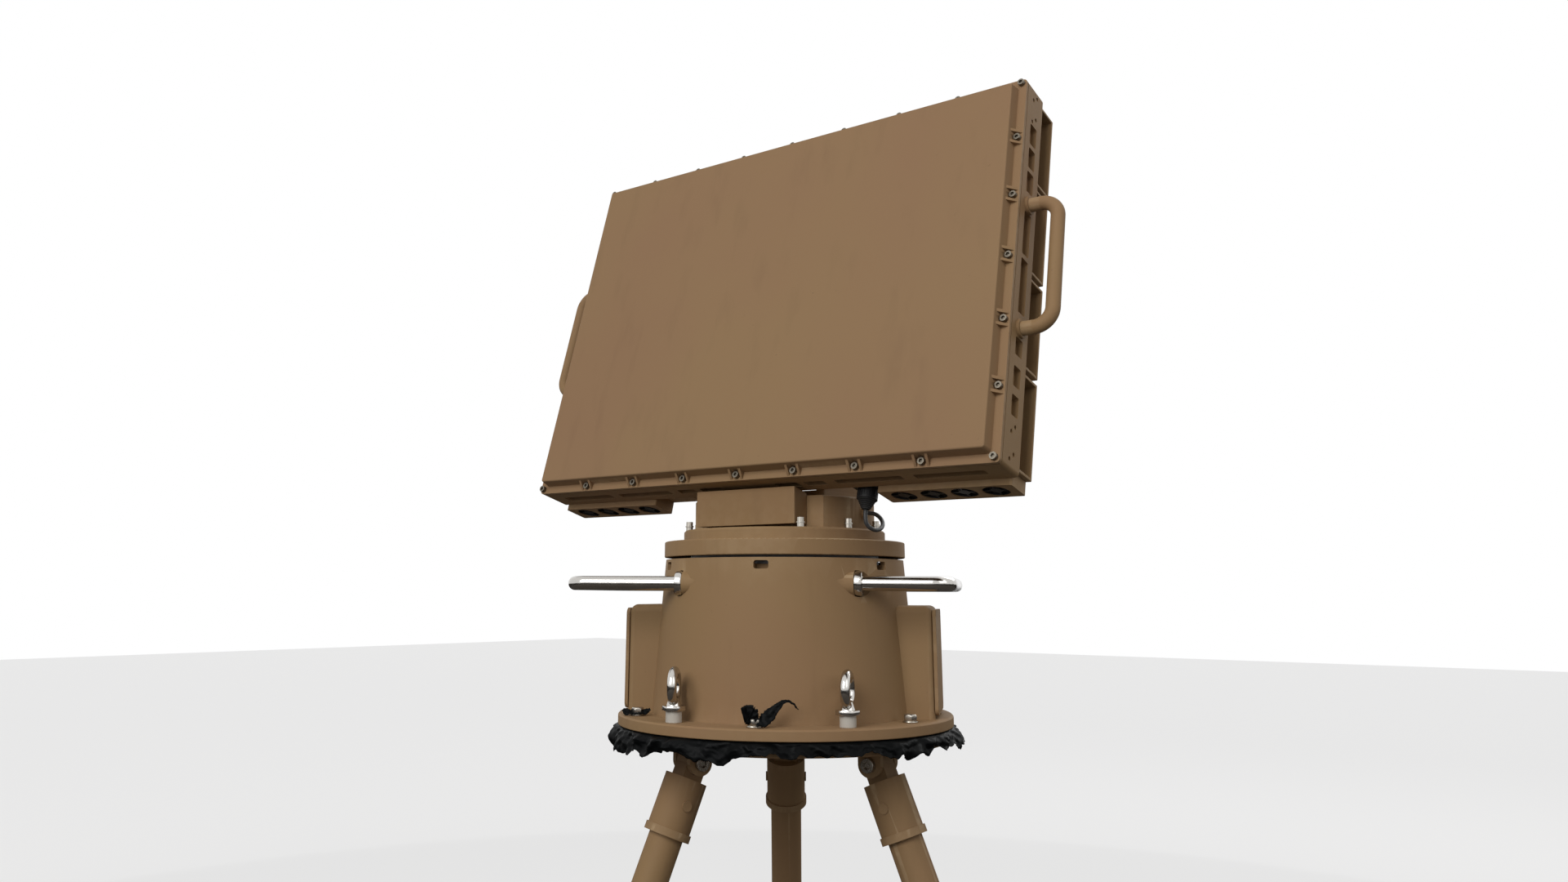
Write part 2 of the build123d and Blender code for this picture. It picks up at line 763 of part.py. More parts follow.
cable_radius = 3.0
gland_y = 10.0
gland_z = turntable_top + 24
gland_x = sqrt(neck_radius**2 - gland_y**2)
gland_plane = Plane(origin=(gland_x, gland_y, gland_z), x_dir=(0, 1, 0), z_dir=(1, 0, 0))

with BuildPart() as neck_housing:
    with BuildSketch(Plane.XY.offset(turntable_top)):
        Circle(neck_radius)
        with Locations((0, -neck_flat)):
            Rectangle(2 * neck_radius, neck_radius, align=(Align.CENTER, Align.MAX), mode=Mode.SUBTRACT)
    extrude(amount=neck_height)
    fillet(neck_housing.edges().group_by(Axis.Z)[-1].filter_by(GeomType.CIRCLE), radius=3)
    with BuildSketch(Plane.XY.offset(turntable_top)):
        Circle(neck_radius - neck_wall)
        with Locations((0, -neck_bore_flat)):
            Rectangle(2 * neck_radius, neck_radius, align=(Align.CENTER, Align.MAX), mode=Mode.SUBTRACT)
    extrude(amount=neck_height - neck_deck, mode=Mode.SUBTRACT)
    with Locations(Plane.XY.offset(neck_top)):
        with Locations((0, (yoke_base_back - yoke_base_front) / 2)):
            with GridLocations(100, 110, 2, 2):
                Hole(3.4)
    with BuildSketch(gland_plane.offset(-neck_wall)):
        Circle(9)
    extrude(amount=neck_wall + 5)
    with BuildSketch(gland_plane.offset(5)):
        Circle(cable_radius)
    extrude(amount=-2 * neck_wall, mode=Mode.SUBTRACT)
finish(neck_housing, "neck_housing")

underside_slope = tan(radians(panel_lean))

with BuildPart() as service_cover:
    with BuildSketch(side_profile.offset(-cover_width / 2)):
        with BuildLine():
            Polyline(
                (-neck_flat, turntable_top + cover_slit),
                (-neck_flat - cover_depth, turntable_top + cover_slit),
                (-neck_flat - cover_depth, turntable_top + cover_front_height),
                (-neck_flat, turntable_top + cover_front_height - cover_depth * underside_slope),
                close=True,
            )
        make_face()
    extrude(amount=cover_width)
    fillet(service_cover.edges().filter_by(Axis.Z), radius=2)
    fillet(service_cover.faces().sort_by(Axis.Z).last.edges(), radius=1.2)
finish(service_cover, "service_cover")

# ================================================================ pedestal
drum_slope = (drum_foot_radius - drum_top_radius) / drum_height
neck_ring_z = deck_top - deck_thick
deck_bore = 106.0
side_wall = 11.0
cover_plate = 5.0


def drum_radius(z):
    """Outer radius of the tapering drum at a level."""
    return drum_foot_radius - drum_slope * (z - flange_top)


rod_z = flange_top + rod_height
collar_outer = 6.0
rod_stop = 5.0
rod_stop_lip = 2.5
collar_inner_end = rod_out_left - rod_inner_length + rod_stop + seat_gap
wall_x = sqrt(drum_radius(rod_z) ** 2 - rod_half_spacing**2)
collar_end = wall_x + collar_outer
collar_lip = 11.0
bush_wall = 4.0
bush_radius = rod_diameter / 2 + bush_wall
rod_boss_wall = 3.0
rod_boss_radius = bush_radius + rod_boss_wall
rod_seat_x = collar_end - collar_lip
vent_z = drum_top - vent_drop

with BuildPart(pedestal.offset(flange_top)) as pedestal_housing:
    for side in (-1, 1):
        with Locations((side * side_reach / 2, 0, 0)):
            Box(side_reach, 2 * side_half_width, side_height, align=(Align.CENTER, Align.CENTER, Align.MIN))
    fillet(pedestal_housing.edges().filter_by(Axis.Z), radius=9)
    fillet(pedestal_housing.faces().sort_by(Axis.Z).last.edges(), radius=11)
    Cone(drum_foot_radius, drum_top_radius, drum_height, align=(Align.CENTER, Align.CENTER, Align.MIN))
    with Locations((0, 0, 0)):
        Cone(
            drum_foot_radius - drum_wall,
            drum_radius(neck_ring_z) - drum_wall,
            drum_height - deck_drop - deck_thick,
            align=(Align.CENTER, Align.CENTER, Align.MIN),
            mode=Mode.SUBTRACT,
        )
        Cylinder(deck_bore, 2 * drum_height, mode=Mode.SUBTRACT)
    with Locations((0, 0, drum_height - deck_drop)):
        Cylinder(
            drum_top_radius - drum_wall,
            drum_height,
            align=(Align.CENTER, Align.CENTER, Align.MIN),
            mode=Mode.SUBTRACT,
        )
    for side in (-1, 1):
        with Locations((side * (side_reach + 10) / 2, 0, -1)):
            Box(
                side_reach + 10,
                2 * (side_half_width - side_wall),
                side_height - side_wall + 1,
                align=(Align.CENTER, Align.CENTER, Align.MIN),
                mode=Mode.SUBTRACT,
            )
    with Locations((0, 0, vent_z - flange_top)):
        with PolarLocations(drum_top_radius, vent_count, -90):
            Box(4 * drum_wall, vent_width, vent_height - 2 * vent_corner, mode=Mode.SUBTRACT)
            Box(4 * drum_wall, vent_width - 2 * vent_corner, vent_height, mode=Mode.SUBTRACT)
            with GridLocations(0, vent_width - 2 * vent_corner, 1, 2):
                with Locations((0, 0, vent_height / 2 - vent_corner), (0, 0, vent_corner - vent_height / 2)):
                    Cylinder(vent_corner, 4 * drum_wall, rotation=(0, 90, 0), mode=Mode.SUBTRACT)
    for side in (-1, 1):
        rod_seats = [(side * rod_seat_x, row * rod_half_spacing, rod_height) for row in (-1, 1)]
        with Locations(*rod_seats):
            Cylinder(
                collar_diameter / 2 + 1,
                drum_foot_radius,
                rotation=(0, side * 90, 0),
                align=(Align.CENTER, Align.CENTER, Align.MIN),
                mode=Mode.SUBTRACT,
            )
            Cylinder(
                rod_boss_radius,
                drum_wall + 8,
                rotation=(0, -side * 90, 0),
                align=(Align.CENTER, Align.CENTER, Align.MIN),
            )
    with Locations((0, rod_half_spacing, rod_height), (0, -rod_half_spacing, rod_height)):
        Cylinder(bush_radius + running_fit, 2 * drum_foot_radius, rotation=(0, 90, 0), mode=Mode.SUBTRACT)
finish(pedestal_housing, "pedestal_housing")

with BuildPart() as side_covers:
    for side in (-1, 1):
        outer_face = Plane(
            origin=pedestal.from_local_coords((side * side_reach, 0, flange_top + side_height / 2)),
            x_dir=pedestal.y_dir,
            z_dir=side * pedestal.x_dir,
        )
        with BuildSketch(outer_face):
            RectangleRounded(2 * side_half_width - 6, side_height - 10, 9)
        extrude(amount=cover_plate)
        with Locations(outer_face.offset(cover_plate)):
            with GridLocations(2 * side_half_width - 18, side_height - 22, 2, 2):
                CounterBoreHole(2.2, 4.0, 2.5, depth=cover_plate)
finish(side_covers, "side_covers")

with BuildPart(pedestal.offset(film_top)) as base_flange:
    Cylinder(flange_radius, flange_thick, align=(Align.CENTER, Align.CENTER, Align.MIN))
    rim = base_flange.edges().filter_by(GeomType.CIRCLE)
    chamfer(rim.group_by(Axis.Z)[-1], length=2.0)
    chamfer(rim.group_by(Axis.Z)[0], length=1.0)
    Cylinder(16, 3 * flange_thick, mode=Mode.SUBTRACT)
    with PolarLocations(flange_bolt_circle, flange_bolt_count, -90):
        Cylinder(6.7, 3 * flange_thick, mode=Mode.SUBTRACT)
    for angle in (eye_bolt_angle, -eye_bolt_angle, 180 - eye_bolt_angle, 180 + eye_bolt_angle):
        with PolarLocations(flange_bolt_circle, 1, angle - 90):
            Cylinder(6 + running_fit, 3 * flange_thick, mode=Mode.SUBTRACT)
finish(base_flange, "base_flange")

# ================================================================ azimuth bearing and gears
ring_gap = 0.7
bearing_base = deck_top
ball_level = bearing_base + bearing_height / 2
track_radius = ball_diameter / 2 + 0.1
inner_base = cap_top - cap_plate - bearing_height

with BuildPart(Plane.XY.offset(bearing_base)) as bearing_outer_ring:
    with BuildSketch(Plane.XY.offset(bearing_base)):
        Circle(bearing_outer)
        Circle(bearing_split + ring_gap, mode=Mode.SUBTRACT)
    extrude(amount=bearing_height)
    with Locations((0, 0, bearing_height / 2)):
        Torus(bearing_split, track_radius, mode=Mode.SUBTRACT)
finish(bearing_outer_ring, "bearing_outer_ring")

with BuildPart(Plane.XY.offset(inner_base)) as bearing_inner_ring:
    with BuildSketch(Plane.XY.offset(inner_base)):
        Circle(bearing_split - ring_gap)
        Circle(bearing_inner, mode=Mode.SUBTRACT)
    extrude(amount=bearing_height)
    with Locations((0, 0, ball_level - inner_base)):
        Torus(bearing_split, track_radius, mode=Mode.SUBTRACT)
finish(bearing_inner_ring, "bearing_inner_ring")

with BuildPart() as bearing_balls:
    with Locations(Plane.XY.offset(ball_level)):
        with PolarLocations(bearing_split, ball_count):
            Sphere(ball_diameter / 2)
finish(bearing_balls, "bearing_balls")

pressure_angle = radians(20)
gear_radius = gear_module * gear_teeth / 2
pinion_radius = gear_module * pinion_teeth / 2
gear_base = neck_ring_z - 4 - gear_width
motor_distance = gear_radius + pinion_radius
motor_angle = radians(pedestal_turn)
motor_x = motor_distance * cos(motor_angle)
motor_y = motor_distance * sin(motor_angle)


def involute(angle):
    """Involute function of a pressure angle."""
    return tan(angle) - angle


def tooth_outline(teeth):
    """One gear tooth about the +X axis, with involute flanks and running backlash."""
    pitch = gear_module * teeth / 2
    root = pitch - 1.25 * gear_module
    base = pitch * cos(pressure_angle)
    tip = pitch + gear_module
    half_tooth = pi / (2 * teeth) + involute(pressure_angle) - gear_backlash / (2 * pitch)
    flank = []
    for step in range(6):
        radius = max(base, root) + (tip - max(base, root)) * step / 5
        turn = half_tooth - involute(acos(min(1, base / radius)))
        flank.append((radius * cos(turn), radius * sin(turn)))
    foot_turn = atan2(flank[0][1], flank[0][0])
    foot = ((root - 0.6) * cos(foot_turn), (root - 0.6) * sin(foot_turn))
    upper = [foot] + flank
    return upper + [(x, -y) for x, y in reversed(upper)]


with BuildPart() as azimuth_gear:
    with BuildSketch(Plane.XY.offset(gear_base)):
        Circle(gear_radius - 1.25 * gear_module)
        with PolarLocations(0, gear_teeth, pedestal_turn):
            Polygon(*tooth_outline(gear_teeth), align=None)
        Circle(gear_radius - 10, mode=Mode.SUBTRACT)
    extrude(amount=gear_width)
    with BuildSketch(Plane.XY.offset(gear_base)):
        Circle(gear_radius - 1.5 * gear_module)
        Circle(gear_radius - 10, mode=Mode.SUBTRACT)
    extrude(amount=inner_base - gear_base)
    with BuildSketch(Plane.XY.offset(inner_base)):
        Circle(deck_bore - 2)
        Circle(gear_radius - 10, mode=Mode.SUBTRACT)
    extrude(amount=-5)
finish(azimuth_gear, "azimuth_gear")

shaft_radius = 6.0
half_pinion_tooth = 180 / pinion_teeth
pinion_centre = Plane(
    origin=(motor_x, motor_y, gear_base), x_dir=(cos(motor_angle), sin(motor_angle), 0), z_dir=(0, 0, 1)
)

with BuildPart() as drive_pinion:
    with BuildSketch(pinion_centre):
        Circle(pinion_radius - 1.25 * gear_module)
        with PolarLocations(0, pinion_teeth, 180 + half_pinion_tooth):
            Polygon(*tooth_outline(pinion_teeth), align=None)
        Circle(shaft_radius + running_fit, mode=Mode.SUBTRACT)
    extrude(amount=gear_width)
finish(drive_pinion, "drive_pinion")

gearbox_top = gear_base - 4
gearbox_length = 45.0
motor_body_length = 74.0

with BuildPart(pinion_centre.offset(-gear_base)) as drive_motor:
    with Locations((0, 0, gearbox_top)):
        Cylinder(26, gearbox_length, align=(Align.CENTER, Align.CENTER, Align.MAX))
    with Locations((0, 0, gearbox_top - gearbox_length)):
        Box(57, 57, motor_body_length, align=(Align.CENTER, Align.CENTER, Align.MAX))
    with Locations((0, 0, gearbox_top)):
        Cylinder(shaft_radius, gear_width + 6, align=(Align.CENTER, Align.CENTER, Align.MIN))
finish(drive_motor, "drive_motor")

bracket_floor = flange_top
bracket_shelf = gearbox_top - gearbox_length - motor_body_length

with BuildPart(pinion_centre.offset(-gear_base)) as motor_bracket:
    with Locations((0, 0, bracket_floor)):
        Box(70, 70, bracket_shelf - bracket_floor, align=(Align.CENTER, Align.CENTER, Align.MIN))
        Box(56, 80, 2 * (bracket_shelf - bracket_floor - 6), mode=Mode.SUBTRACT)
    with Locations((0, 0, bracket_shelf)):
        Box(70, 70, 20, align=(Align.CENTER, Align.CENTER, Align.MIN))
        Box(57.4, 57.4, 60, mode=Mode.SUBTRACT, align=(Align.CENTER, Align.CENTER, Align.MIN))
finish(motor_bracket, "motor_bracket")

# ================================================================ slip ring and control board
slip_top = cap_top
slip_foot = flange_top + 60
slip_groove_count = 12

with BuildPart() as slip_ring_rotor:
    with BuildSketch(Plane.XY.offset(slip_foot)):
        Circle(slip_rotor_radius)
        Circle(12, mode=Mode.SUBTRACT)
    extrude(amount=slip_top - slip_foot)
    with BuildSketch(Plane.XY.offset(slip_top - 6)):
        Circle(hub_bore + 24)
        Circle(12, mode=Mode.SUBTRACT)
    extrude(amount=6)
    for i in range(slip_groove_count):
        with BuildSketch(Plane.XY.offset(slip_foot + 8 + 7 * i)):
            Circle(slip_rotor_radius + 1)
            Circle(slip_rotor_radius - 1.5, mode=Mode.SUBTRACT)
        extrude(amount=2.5, mode=Mode.SUBTRACT)
finish(slip_ring_rotor, "slip_ring_rotor")

with BuildPart() as slip_ring_stator:
    with BuildSketch(Plane.XY.offset(flange_top)):
        Circle(slip_rotor_radius + slip_gap + 11)
        Circle(slip_rotor_radius + slip_gap, mode=Mode.SUBTRACT)
    extrude(amount=slip_foot - flange_top + 7 * slip_groove_count + 4)
    with BuildSketch(Plane.XY.offset(flange_top)):
        Circle(slip_rotor_radius + slip_gap + 22)
        Circle(slip_rotor_radius + slip_gap, mode=Mode.SUBTRACT)
    extrude(amount=7)
    with BuildSketch(Plane.XY.offset(slip_foot + 3)):
        with Locations((0, 38)):
            Rectangle(26, 30)
        Circle(slip_rotor_radius + slip_gap, mode=Mode.SUBTRACT)
    extrude(amount=7 * slip_groove_count - 4)
finish(slip_ring_stator, "slip_ring_stator")

board_standoff = 12.0

with BuildPart(pedestal.offset(flange_top)) as control_board:
    with Locations((-110, 0, board_standoff)):
        Box(80, 130, 1.6, align=(Align.CENTER, Align.CENTER, Align.MIN))
        with GridLocations(70, 118, 2, 2):
            Cylinder(3.5, board_standoff, align=(Align.CENTER, Align.CENTER, Align.MAX))
    with Locations((-110, 0, board_standoff + 1.6)):
        with Locations((-12, 30), (-12, -30), (18, 5)):
            Box(26, 26, 9, align=(Align.CENTER, Align.CENTER, Align.MIN))
        with GridLocations(14, 22, 2, 2):
            Cylinder(5, 18, align=(Align.CENTER, Align.CENTER, Align.MIN))
finish(control_board, "control_board")

# ================================================================ carrying rods
with BuildPart(pedestal.offset(rod_z)) as rod_collars:
    for side in (-1, 1):
        for row in (-1, 1):
            with Locations((side * collar_inner_end, row * rod_half_spacing, 0)):
                Cylinder(
                    bush_radius,
                    collar_end - collar_inner_end,
                    rotation=(0, side * 90, 0),
                    align=(Align.CENTER, Align.CENTER, Align.MIN),
                )
            with Locations((side * collar_end, row * rod_half_spacing, 0)):
                Cylinder(
                    collar_diameter / 2,
                    collar_lip,
                    rotation=(0, -side * 90, 0),
                    align=(Align.CENTER, Align.CENTER, Align.MIN),
                )
    with Locations((0, rod_half_spacing, 0), (0, -rod_half_spacing, 0)):
        Cylinder(rod_diameter / 2 + running_fit, 4 * collar_end, rotation=(0, 90, 0), mode=Mode.SUBTRACT)
finish(rod_collars, "rod_collars")

for side, reach, name in ((-1, rod_out_left, "left"), (1, rod_out_right, "right")):
    end_mid = side * (reach - rod_diameter / 2)
    inner_end = side * (reach - rod_inner_length)
    corners = [(inner_end, 1), (end_mid, 1), (end_mid, -1), (inner_end, -1)]
    points = [pedestal.from_local_coords((x, row * rod_half_spacing, rod_z)) for x, row in corners]
    with BuildPart() as carry_rod:
        with BuildLine() as rod_path:
            FilletPolyline(*points, radius=rod_bend)
        with BuildSketch(Plane(origin=points[0], z_dir=rod_path.line % 0)):
            Circle(rod_diameter / 2)
        sweep()
        for point in (points[0], points[3]):
            with BuildSketch(Plane(origin=point, z_dir=side * pedestal.x_dir)):
                Circle(rod_diameter / 2 + rod_stop_lip)
            extrude(amount=rod_stop)
    finish(carry_rod, f"carry_rod_{name}")

# ================================================================ bolts and lifting eyes on the flange
hex_across = 16.0
hex_height = 8.5
hex_washer = 10.5
bolt_depth = 16.0

with BuildPart(pedestal.offset(flange_top)) as flange_bolts:
    with PolarLocations(flange_bolt_circle, flange_bolt_count, -90):
        Cylinder(hex_washer, 2.5, align=(Align.CENTER, Align.CENTER, Align.MIN))
        Cylinder(6, flange_thick + film_thick + bolt_depth, align=(Align.CENTER, Align.CENTER, Align.MAX))
    with BuildSketch(pedestal.offset(flange_top + 2.5)):
        with PolarLocations(flange_bolt_circle, flange_bolt_count, -90):
            RegularPolygon(hex_across / 2, 6, major_radius=False)
    extrude(amount=hex_height)
finish(flange_bolts, "flange_bolts")

eye_ring = 19.5
eye_wire = 6.5
spacer_radius = 11.0
spacer_height = 15.0
eye_nut_height = 12.0
eye_angles = (-eye_bolt_angle, eye_bolt_angle, 180 - eye_bolt_angle, 180 + eye_bolt_angle)
eye_turns = (38, -35, 21, 18)

with BuildPart(pedestal.offset(flange_top)) as eye_bolt_spacers:
    for angle in eye_angles:
        with PolarLocations(flange_bolt_circle, 1, angle - 90):
            Cylinder(spacer_radius, spacer_height, align=(Align.CENTER, Align.CENTER, Align.MIN))
            Cylinder(6 + running_fit, 3 * spacer_height, mode=Mode.SUBTRACT)
finish(eye_bolt_spacers, "eye_bolt_spacers")

with BuildPart(pedestal.offset(flange_top + spacer_height)) as eye_bolts:
    for angle, turn in zip(eye_angles, eye_turns):
        with PolarLocations(flange_bolt_circle, 1, angle - 90):
            Cylinder(16, 5, align=(Align.CENTER, Align.CENTER, Align.MIN))
            Cylinder(6, spacer_height + flange_thick - 1, align=(Align.CENTER, Align.CENTER, Align.MAX))
            with Locations((0, 0, 5)):
                Cone(15, 8, eye_nut_height - 4, align=(Align.CENTER, Align.CENTER, Align.MIN))
            with Locations(Location((0, 0, eye_nut_height + eye_ring), (0, 0, turn))):
                Torus(eye_ring, eye_wire, rotation=(90, 0, 0))
finish(eye_bolts, "eye_bolts")

# ================================================================ tripod
ear_gap = leg_eye_width + 2 * seat_gap
tripod_ear_thick = 10.0
tripod_ear_round = 17.0
boss_radius = 34.0

with BuildPart() as film_sheet:
    with BuildSketch(Plane.XY.offset(head_thick)):
        Circle(film_radius)
        Circle(boss_radius, mode=Mode.SUBTRACT)
        with PolarLocations(flange_bolt_circle, flange_bolt_count, pedestal_turn - 90):
            Circle(6.5, mode=Mode.SUBTRACT)
    extrude(amount=film_thick)
    with BuildSketch(Plane.XY.offset(head_thick)):
        Circle(film_radius)
        Circle(film_radius - 3, mode=Mode.SUBTRACT)
    extrude(amount=-film_drop)
finish(film_sheet, "film_sheet")

with BuildPart() as tripod_head:
    Cylinder(head_radius, head_thick, align=(Align.CENTER, Align.CENTER, Align.MIN))
    rim = tripod_head.edges().filter_by(GeomType.CIRCLE)
    chamfer(rim, length=1.5)
    with PolarLocations(0, 3, leg_angles[0]):
        for side in (-1, 1):
            with Locations((leg_pivot_radius, side * (ear_gap + tripod_ear_thick) / 2, 0)):
                Box(
                    2 * tripod_ear_round,
                    tripod_ear_thick,
                    leg_pivot_drop + 1,
                    align=(Align.CENTER, Align.CENTER, Align.MAX),
                )
            with Locations((leg_pivot_radius, side * (ear_gap + tripod_ear_thick) / 2, -leg_pivot_drop)):
                Cylinder(tripod_ear_round, tripod_ear_thick, rotation=(90, 0, 0))
        with Locations((leg_pivot_radius, 0, -leg_pivot_drop)):
            Cylinder(leg_pin_diameter / 2 + running_fit, 90, rotation=(90, 0, 0), mode=Mode.SUBTRACT)
    with Locations((0, 0, 0)):
        Cylinder(socket_diameter / 2, 2 * socket_depth, mode=Mode.SUBTRACT)
    with PolarLocations(flange_bolt_circle, flange_bolt_count, pedestal_turn - 90):
        Cylinder(6 + running_fit, 3 * head_thick, mode=Mode.SUBTRACT)
finish(tripod_head, "tripod_head")

pin_half_length = ear_gap / 2 + tripod_ear_thick

with BuildPart() as leg_pins:
    with PolarLocations(leg_pivot_radius, 3, leg_angles[0]):
        with Locations((0, 0, -leg_pivot_drop)):
            Cylinder(leg_pin_diameter / 2, 2 * pin_half_length + 2, rotation=(90, 0, 0))
            for side in (-1, 1):
                with Locations((0, side * (pin_half_length + 4), 0)):
                    Cylinder(10, 8, rotation=(90, 0, 0))
    for angle in leg_angles:
        for side in (-1, 1):
            out = Vector(cos(radians(angle)), sin(radians(angle)), 0) * leg_pivot_radius
            along = Vector(-sin(radians(angle)), cos(radians(angle)), 0) * side
            spot = out + along * (pin_half_length + 8) - Vector(0, 0, leg_pivot_drop)
            with BuildSketch(Plane(origin=spot, x_dir=(0, 0, 1), z_dir=along)):
                RegularPolygon(5, 6)
            extrude(amount=-5, mode=Mode.SUBTRACT)
finish(leg_pins, "leg_pins")

splay = radians(leg_splay)
foot_ball = 14.0
foot_ball_z = floor_z + foot_thick + foot_ball - 3
leg_length = (-leg_pivot_drop - foot_ball_z) / cos(splay)
knuckle_start = 24.0
knuckle_end = 92.0
clamp_start = 352.0
extension_top = 150.0
below = (Align.CENTER, Align.CENTER, Align.MAX)


def leg_plane(angle):
    """Plane at a leg's pivot: Z up along the leg, X outward, Y along the pin."""
    out = Vector(cos(radians(angle)), sin(radians(angle)), 0)
    along_leg = out * -sin(splay) + Vector(0, 0, cos(splay))
    across = Vector(-sin(radians(angle)), cos(radians(angle)), 0)
    return Plane(
        origin=out * leg_pivot_radius - Vector(0, 0, leg_pivot_drop),
        x_dir=across.cross(along_leg),
        z_dir=along_leg,
    )


for number, angle in enumerate(leg_angles, 1):
    with BuildPart(leg_plane(angle)) as leg:
        Cylinder(16, leg_eye_width, rotation=(90, 0, 0))
        Box(30, leg_eye_width, knuckle_start + 6, align=(Align.CENTER, Align.CENTER, Align.MAX))
        with Locations((0, 0, -knuckle_start)):
            Cylinder(knuckle_radius, knuckle_end - knuckle_start, align=below)
        with Locations((0, 0, -knuckle_end)):
            Cylinder(knuckle_radius + 2.5, 10, align=below)
        with Locations((0, 0, -knuckle_end)):
            Cylinder(leg_tube_radius, leg_tube_end - knuckle_end, align=below)
        with Locations((0, 0, -clamp_start)):
            Cylinder(knuckle_radius, leg_tube_end - clamp_start, align=below)
        with Locations((0, 0, -(clamp_start + leg_tube_end) / 2)):
            with Locations((0, leg_tube_radius + 8, 0)):
                Box(26, 22, 30)
        with Locations((0, 0, -extension_top + 6)):
            Cylinder(
                extension_radius + running_fit,
                leg_tube_end,
                align=(Align.CENTER, Align.CENTER, Align.MAX),
                mode=Mode.SUBTRACT,
            )
        Cylinder(leg_pin_diameter / 2 + running_fit, 90, rotation=(90, 0, 0), mode=Mode.SUBTRACT)
        knuckle_mid = (knuckle_start + knuckle_end) / 2
        with Locations((0, knuckle_radius - 1, -knuckle_mid), (0, 1 - knuckle_radius, -knuckle_mid)):
            Cylinder(7, 6, rotation=(90, 0, 0))
        with Locations((0, 0, -(clamp_start + leg_tube_end) / 2)):
            with Locations((0, leg_tube_radius + 14, 0)):
                Cylinder(5, 44, rotation=(0, 90, 0))
            with Locations((22, leg_tube_radius + 14, -22)):
                Box(7, 12, 62)
    finish(leg, f"leg_{number}")

    with BuildPart(leg_plane(angle)) as extension:
        with Locations((0, 0, -extension_top)):
            Cylinder(extension_radius, leg_length - extension_top, align=below)
            Cylinder(
                extension_radius - extension_wall,
                leg_length - extension_top - 40,
                align=(Align.CENTER, Align.CENTER, Align.MAX),
                mode=Mode.SUBTRACT,
            )
        with Locations((0, 0, -leg_length)):
            Sphere(foot_ball + 7)
        foot = leg_plane(angle).from_local_coords((0, 0, -leg_length))
        with BuildSketch(Plane(origin=(foot.X, foot.Y, floor_z))):
            Circle(foot_radius)
        extrude(amount=foot_thick)
        with BuildSketch(Plane(origin=(foot.X, foot.Y, floor_z))):
            Circle(foot_radius + 60)
        extrude(amount=-60, mode=Mode.SUBTRACT)
    finish(extension, f"leg_extension_{number}")

# ================================================================ panel connector and its cable
connector_x = 175.0
connector_mid = frame_back + 24
connector_top = module_margin - outer_height / 2
connector_plane = Plane(
    origin=panel.from_local_coords((connector_x, connector_top, -connector_mid)),
    x_dir=panel.x_dir,
    z_dir=-panel.y_dir,
)
shell_length = 21.0
boot_length = 14.0

with BuildPart(connector_plane) as panel_connector:
    Box(44, 40, 4, align=(Align.CENTER, Align.CENTER, Align.MIN))
    Cylinder(15, shell_length, align=(Align.CENTER, Align.CENTER, Align.MIN))
    with Locations((0, 0, shell_length)):
        Cone(14, 7.5, boot_length, align=(Align.CENTER, Align.CENTER, Align.MIN))
finish(panel_connector, "panel_connector")

boot_end = connector_plane.from_local_coords((0, 0, shell_length + boot_length))
boot_run = connector_plane.from_local_coords((0, 0, shell_length + boot_length + 19))
cable_points = [
    Vector(gland_x, gland_y, gland_z),
    Vector(gland_x + 16, gland_y, gland_z),
    Vector(168, 5, 312),
    Vector(179, -7, 302),
    Vector(183.5, -22, 294),
    Vector(181.5, -39, 291.5),
    boot_run,
    boot_end,
]
cable_bends = []
for before, here, after in zip(cable_points, cable_points[1:], cable_points[2:]):
    turn = radians((here - before).get_angle(after - here))
    shorter = min((here - before).length, (after - here).length)
    cable_bends.append(0.45 * shorter / tan(turn / 2))

with BuildPart() as panel_cable:
    with BuildLine() as cable_path:
        FilletPolyline(*cable_points, radius=cable_bends)
    with BuildSketch(Plane(origin=cable_points[0], z_dir=cable_path.line % 0)):
        Circle(cable_radius)
    sweep()
finish(panel_cable, "panel_cable")
cable_length = cable_path.wires()[0].length
print("cable bend radii", [round(r, 1) for r in cable_bends], "length", round(cable_length, 1))
full_volume = pi * cable_radius**2 * cable_length
print("cable volume / section*length", round(panel_cable.part.volume / full_volume, 3))

print("foot radius", round(leg_pivot_radius + leg_length * sin(splay), 1), "leg length", round(leg_length, 1))
print("connector end", connector_plane.from_local_coords((0, 0, shell_length + boot_length)))
print("pivot in panel", pivot_local)
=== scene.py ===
import json
import logging
from dataclasses import dataclass, field
from enum import Enum
from math import cos, exp, pi, radians, sin

import bmesh
import bpy
from mathutils import Euler, Matrix, Vector, noise

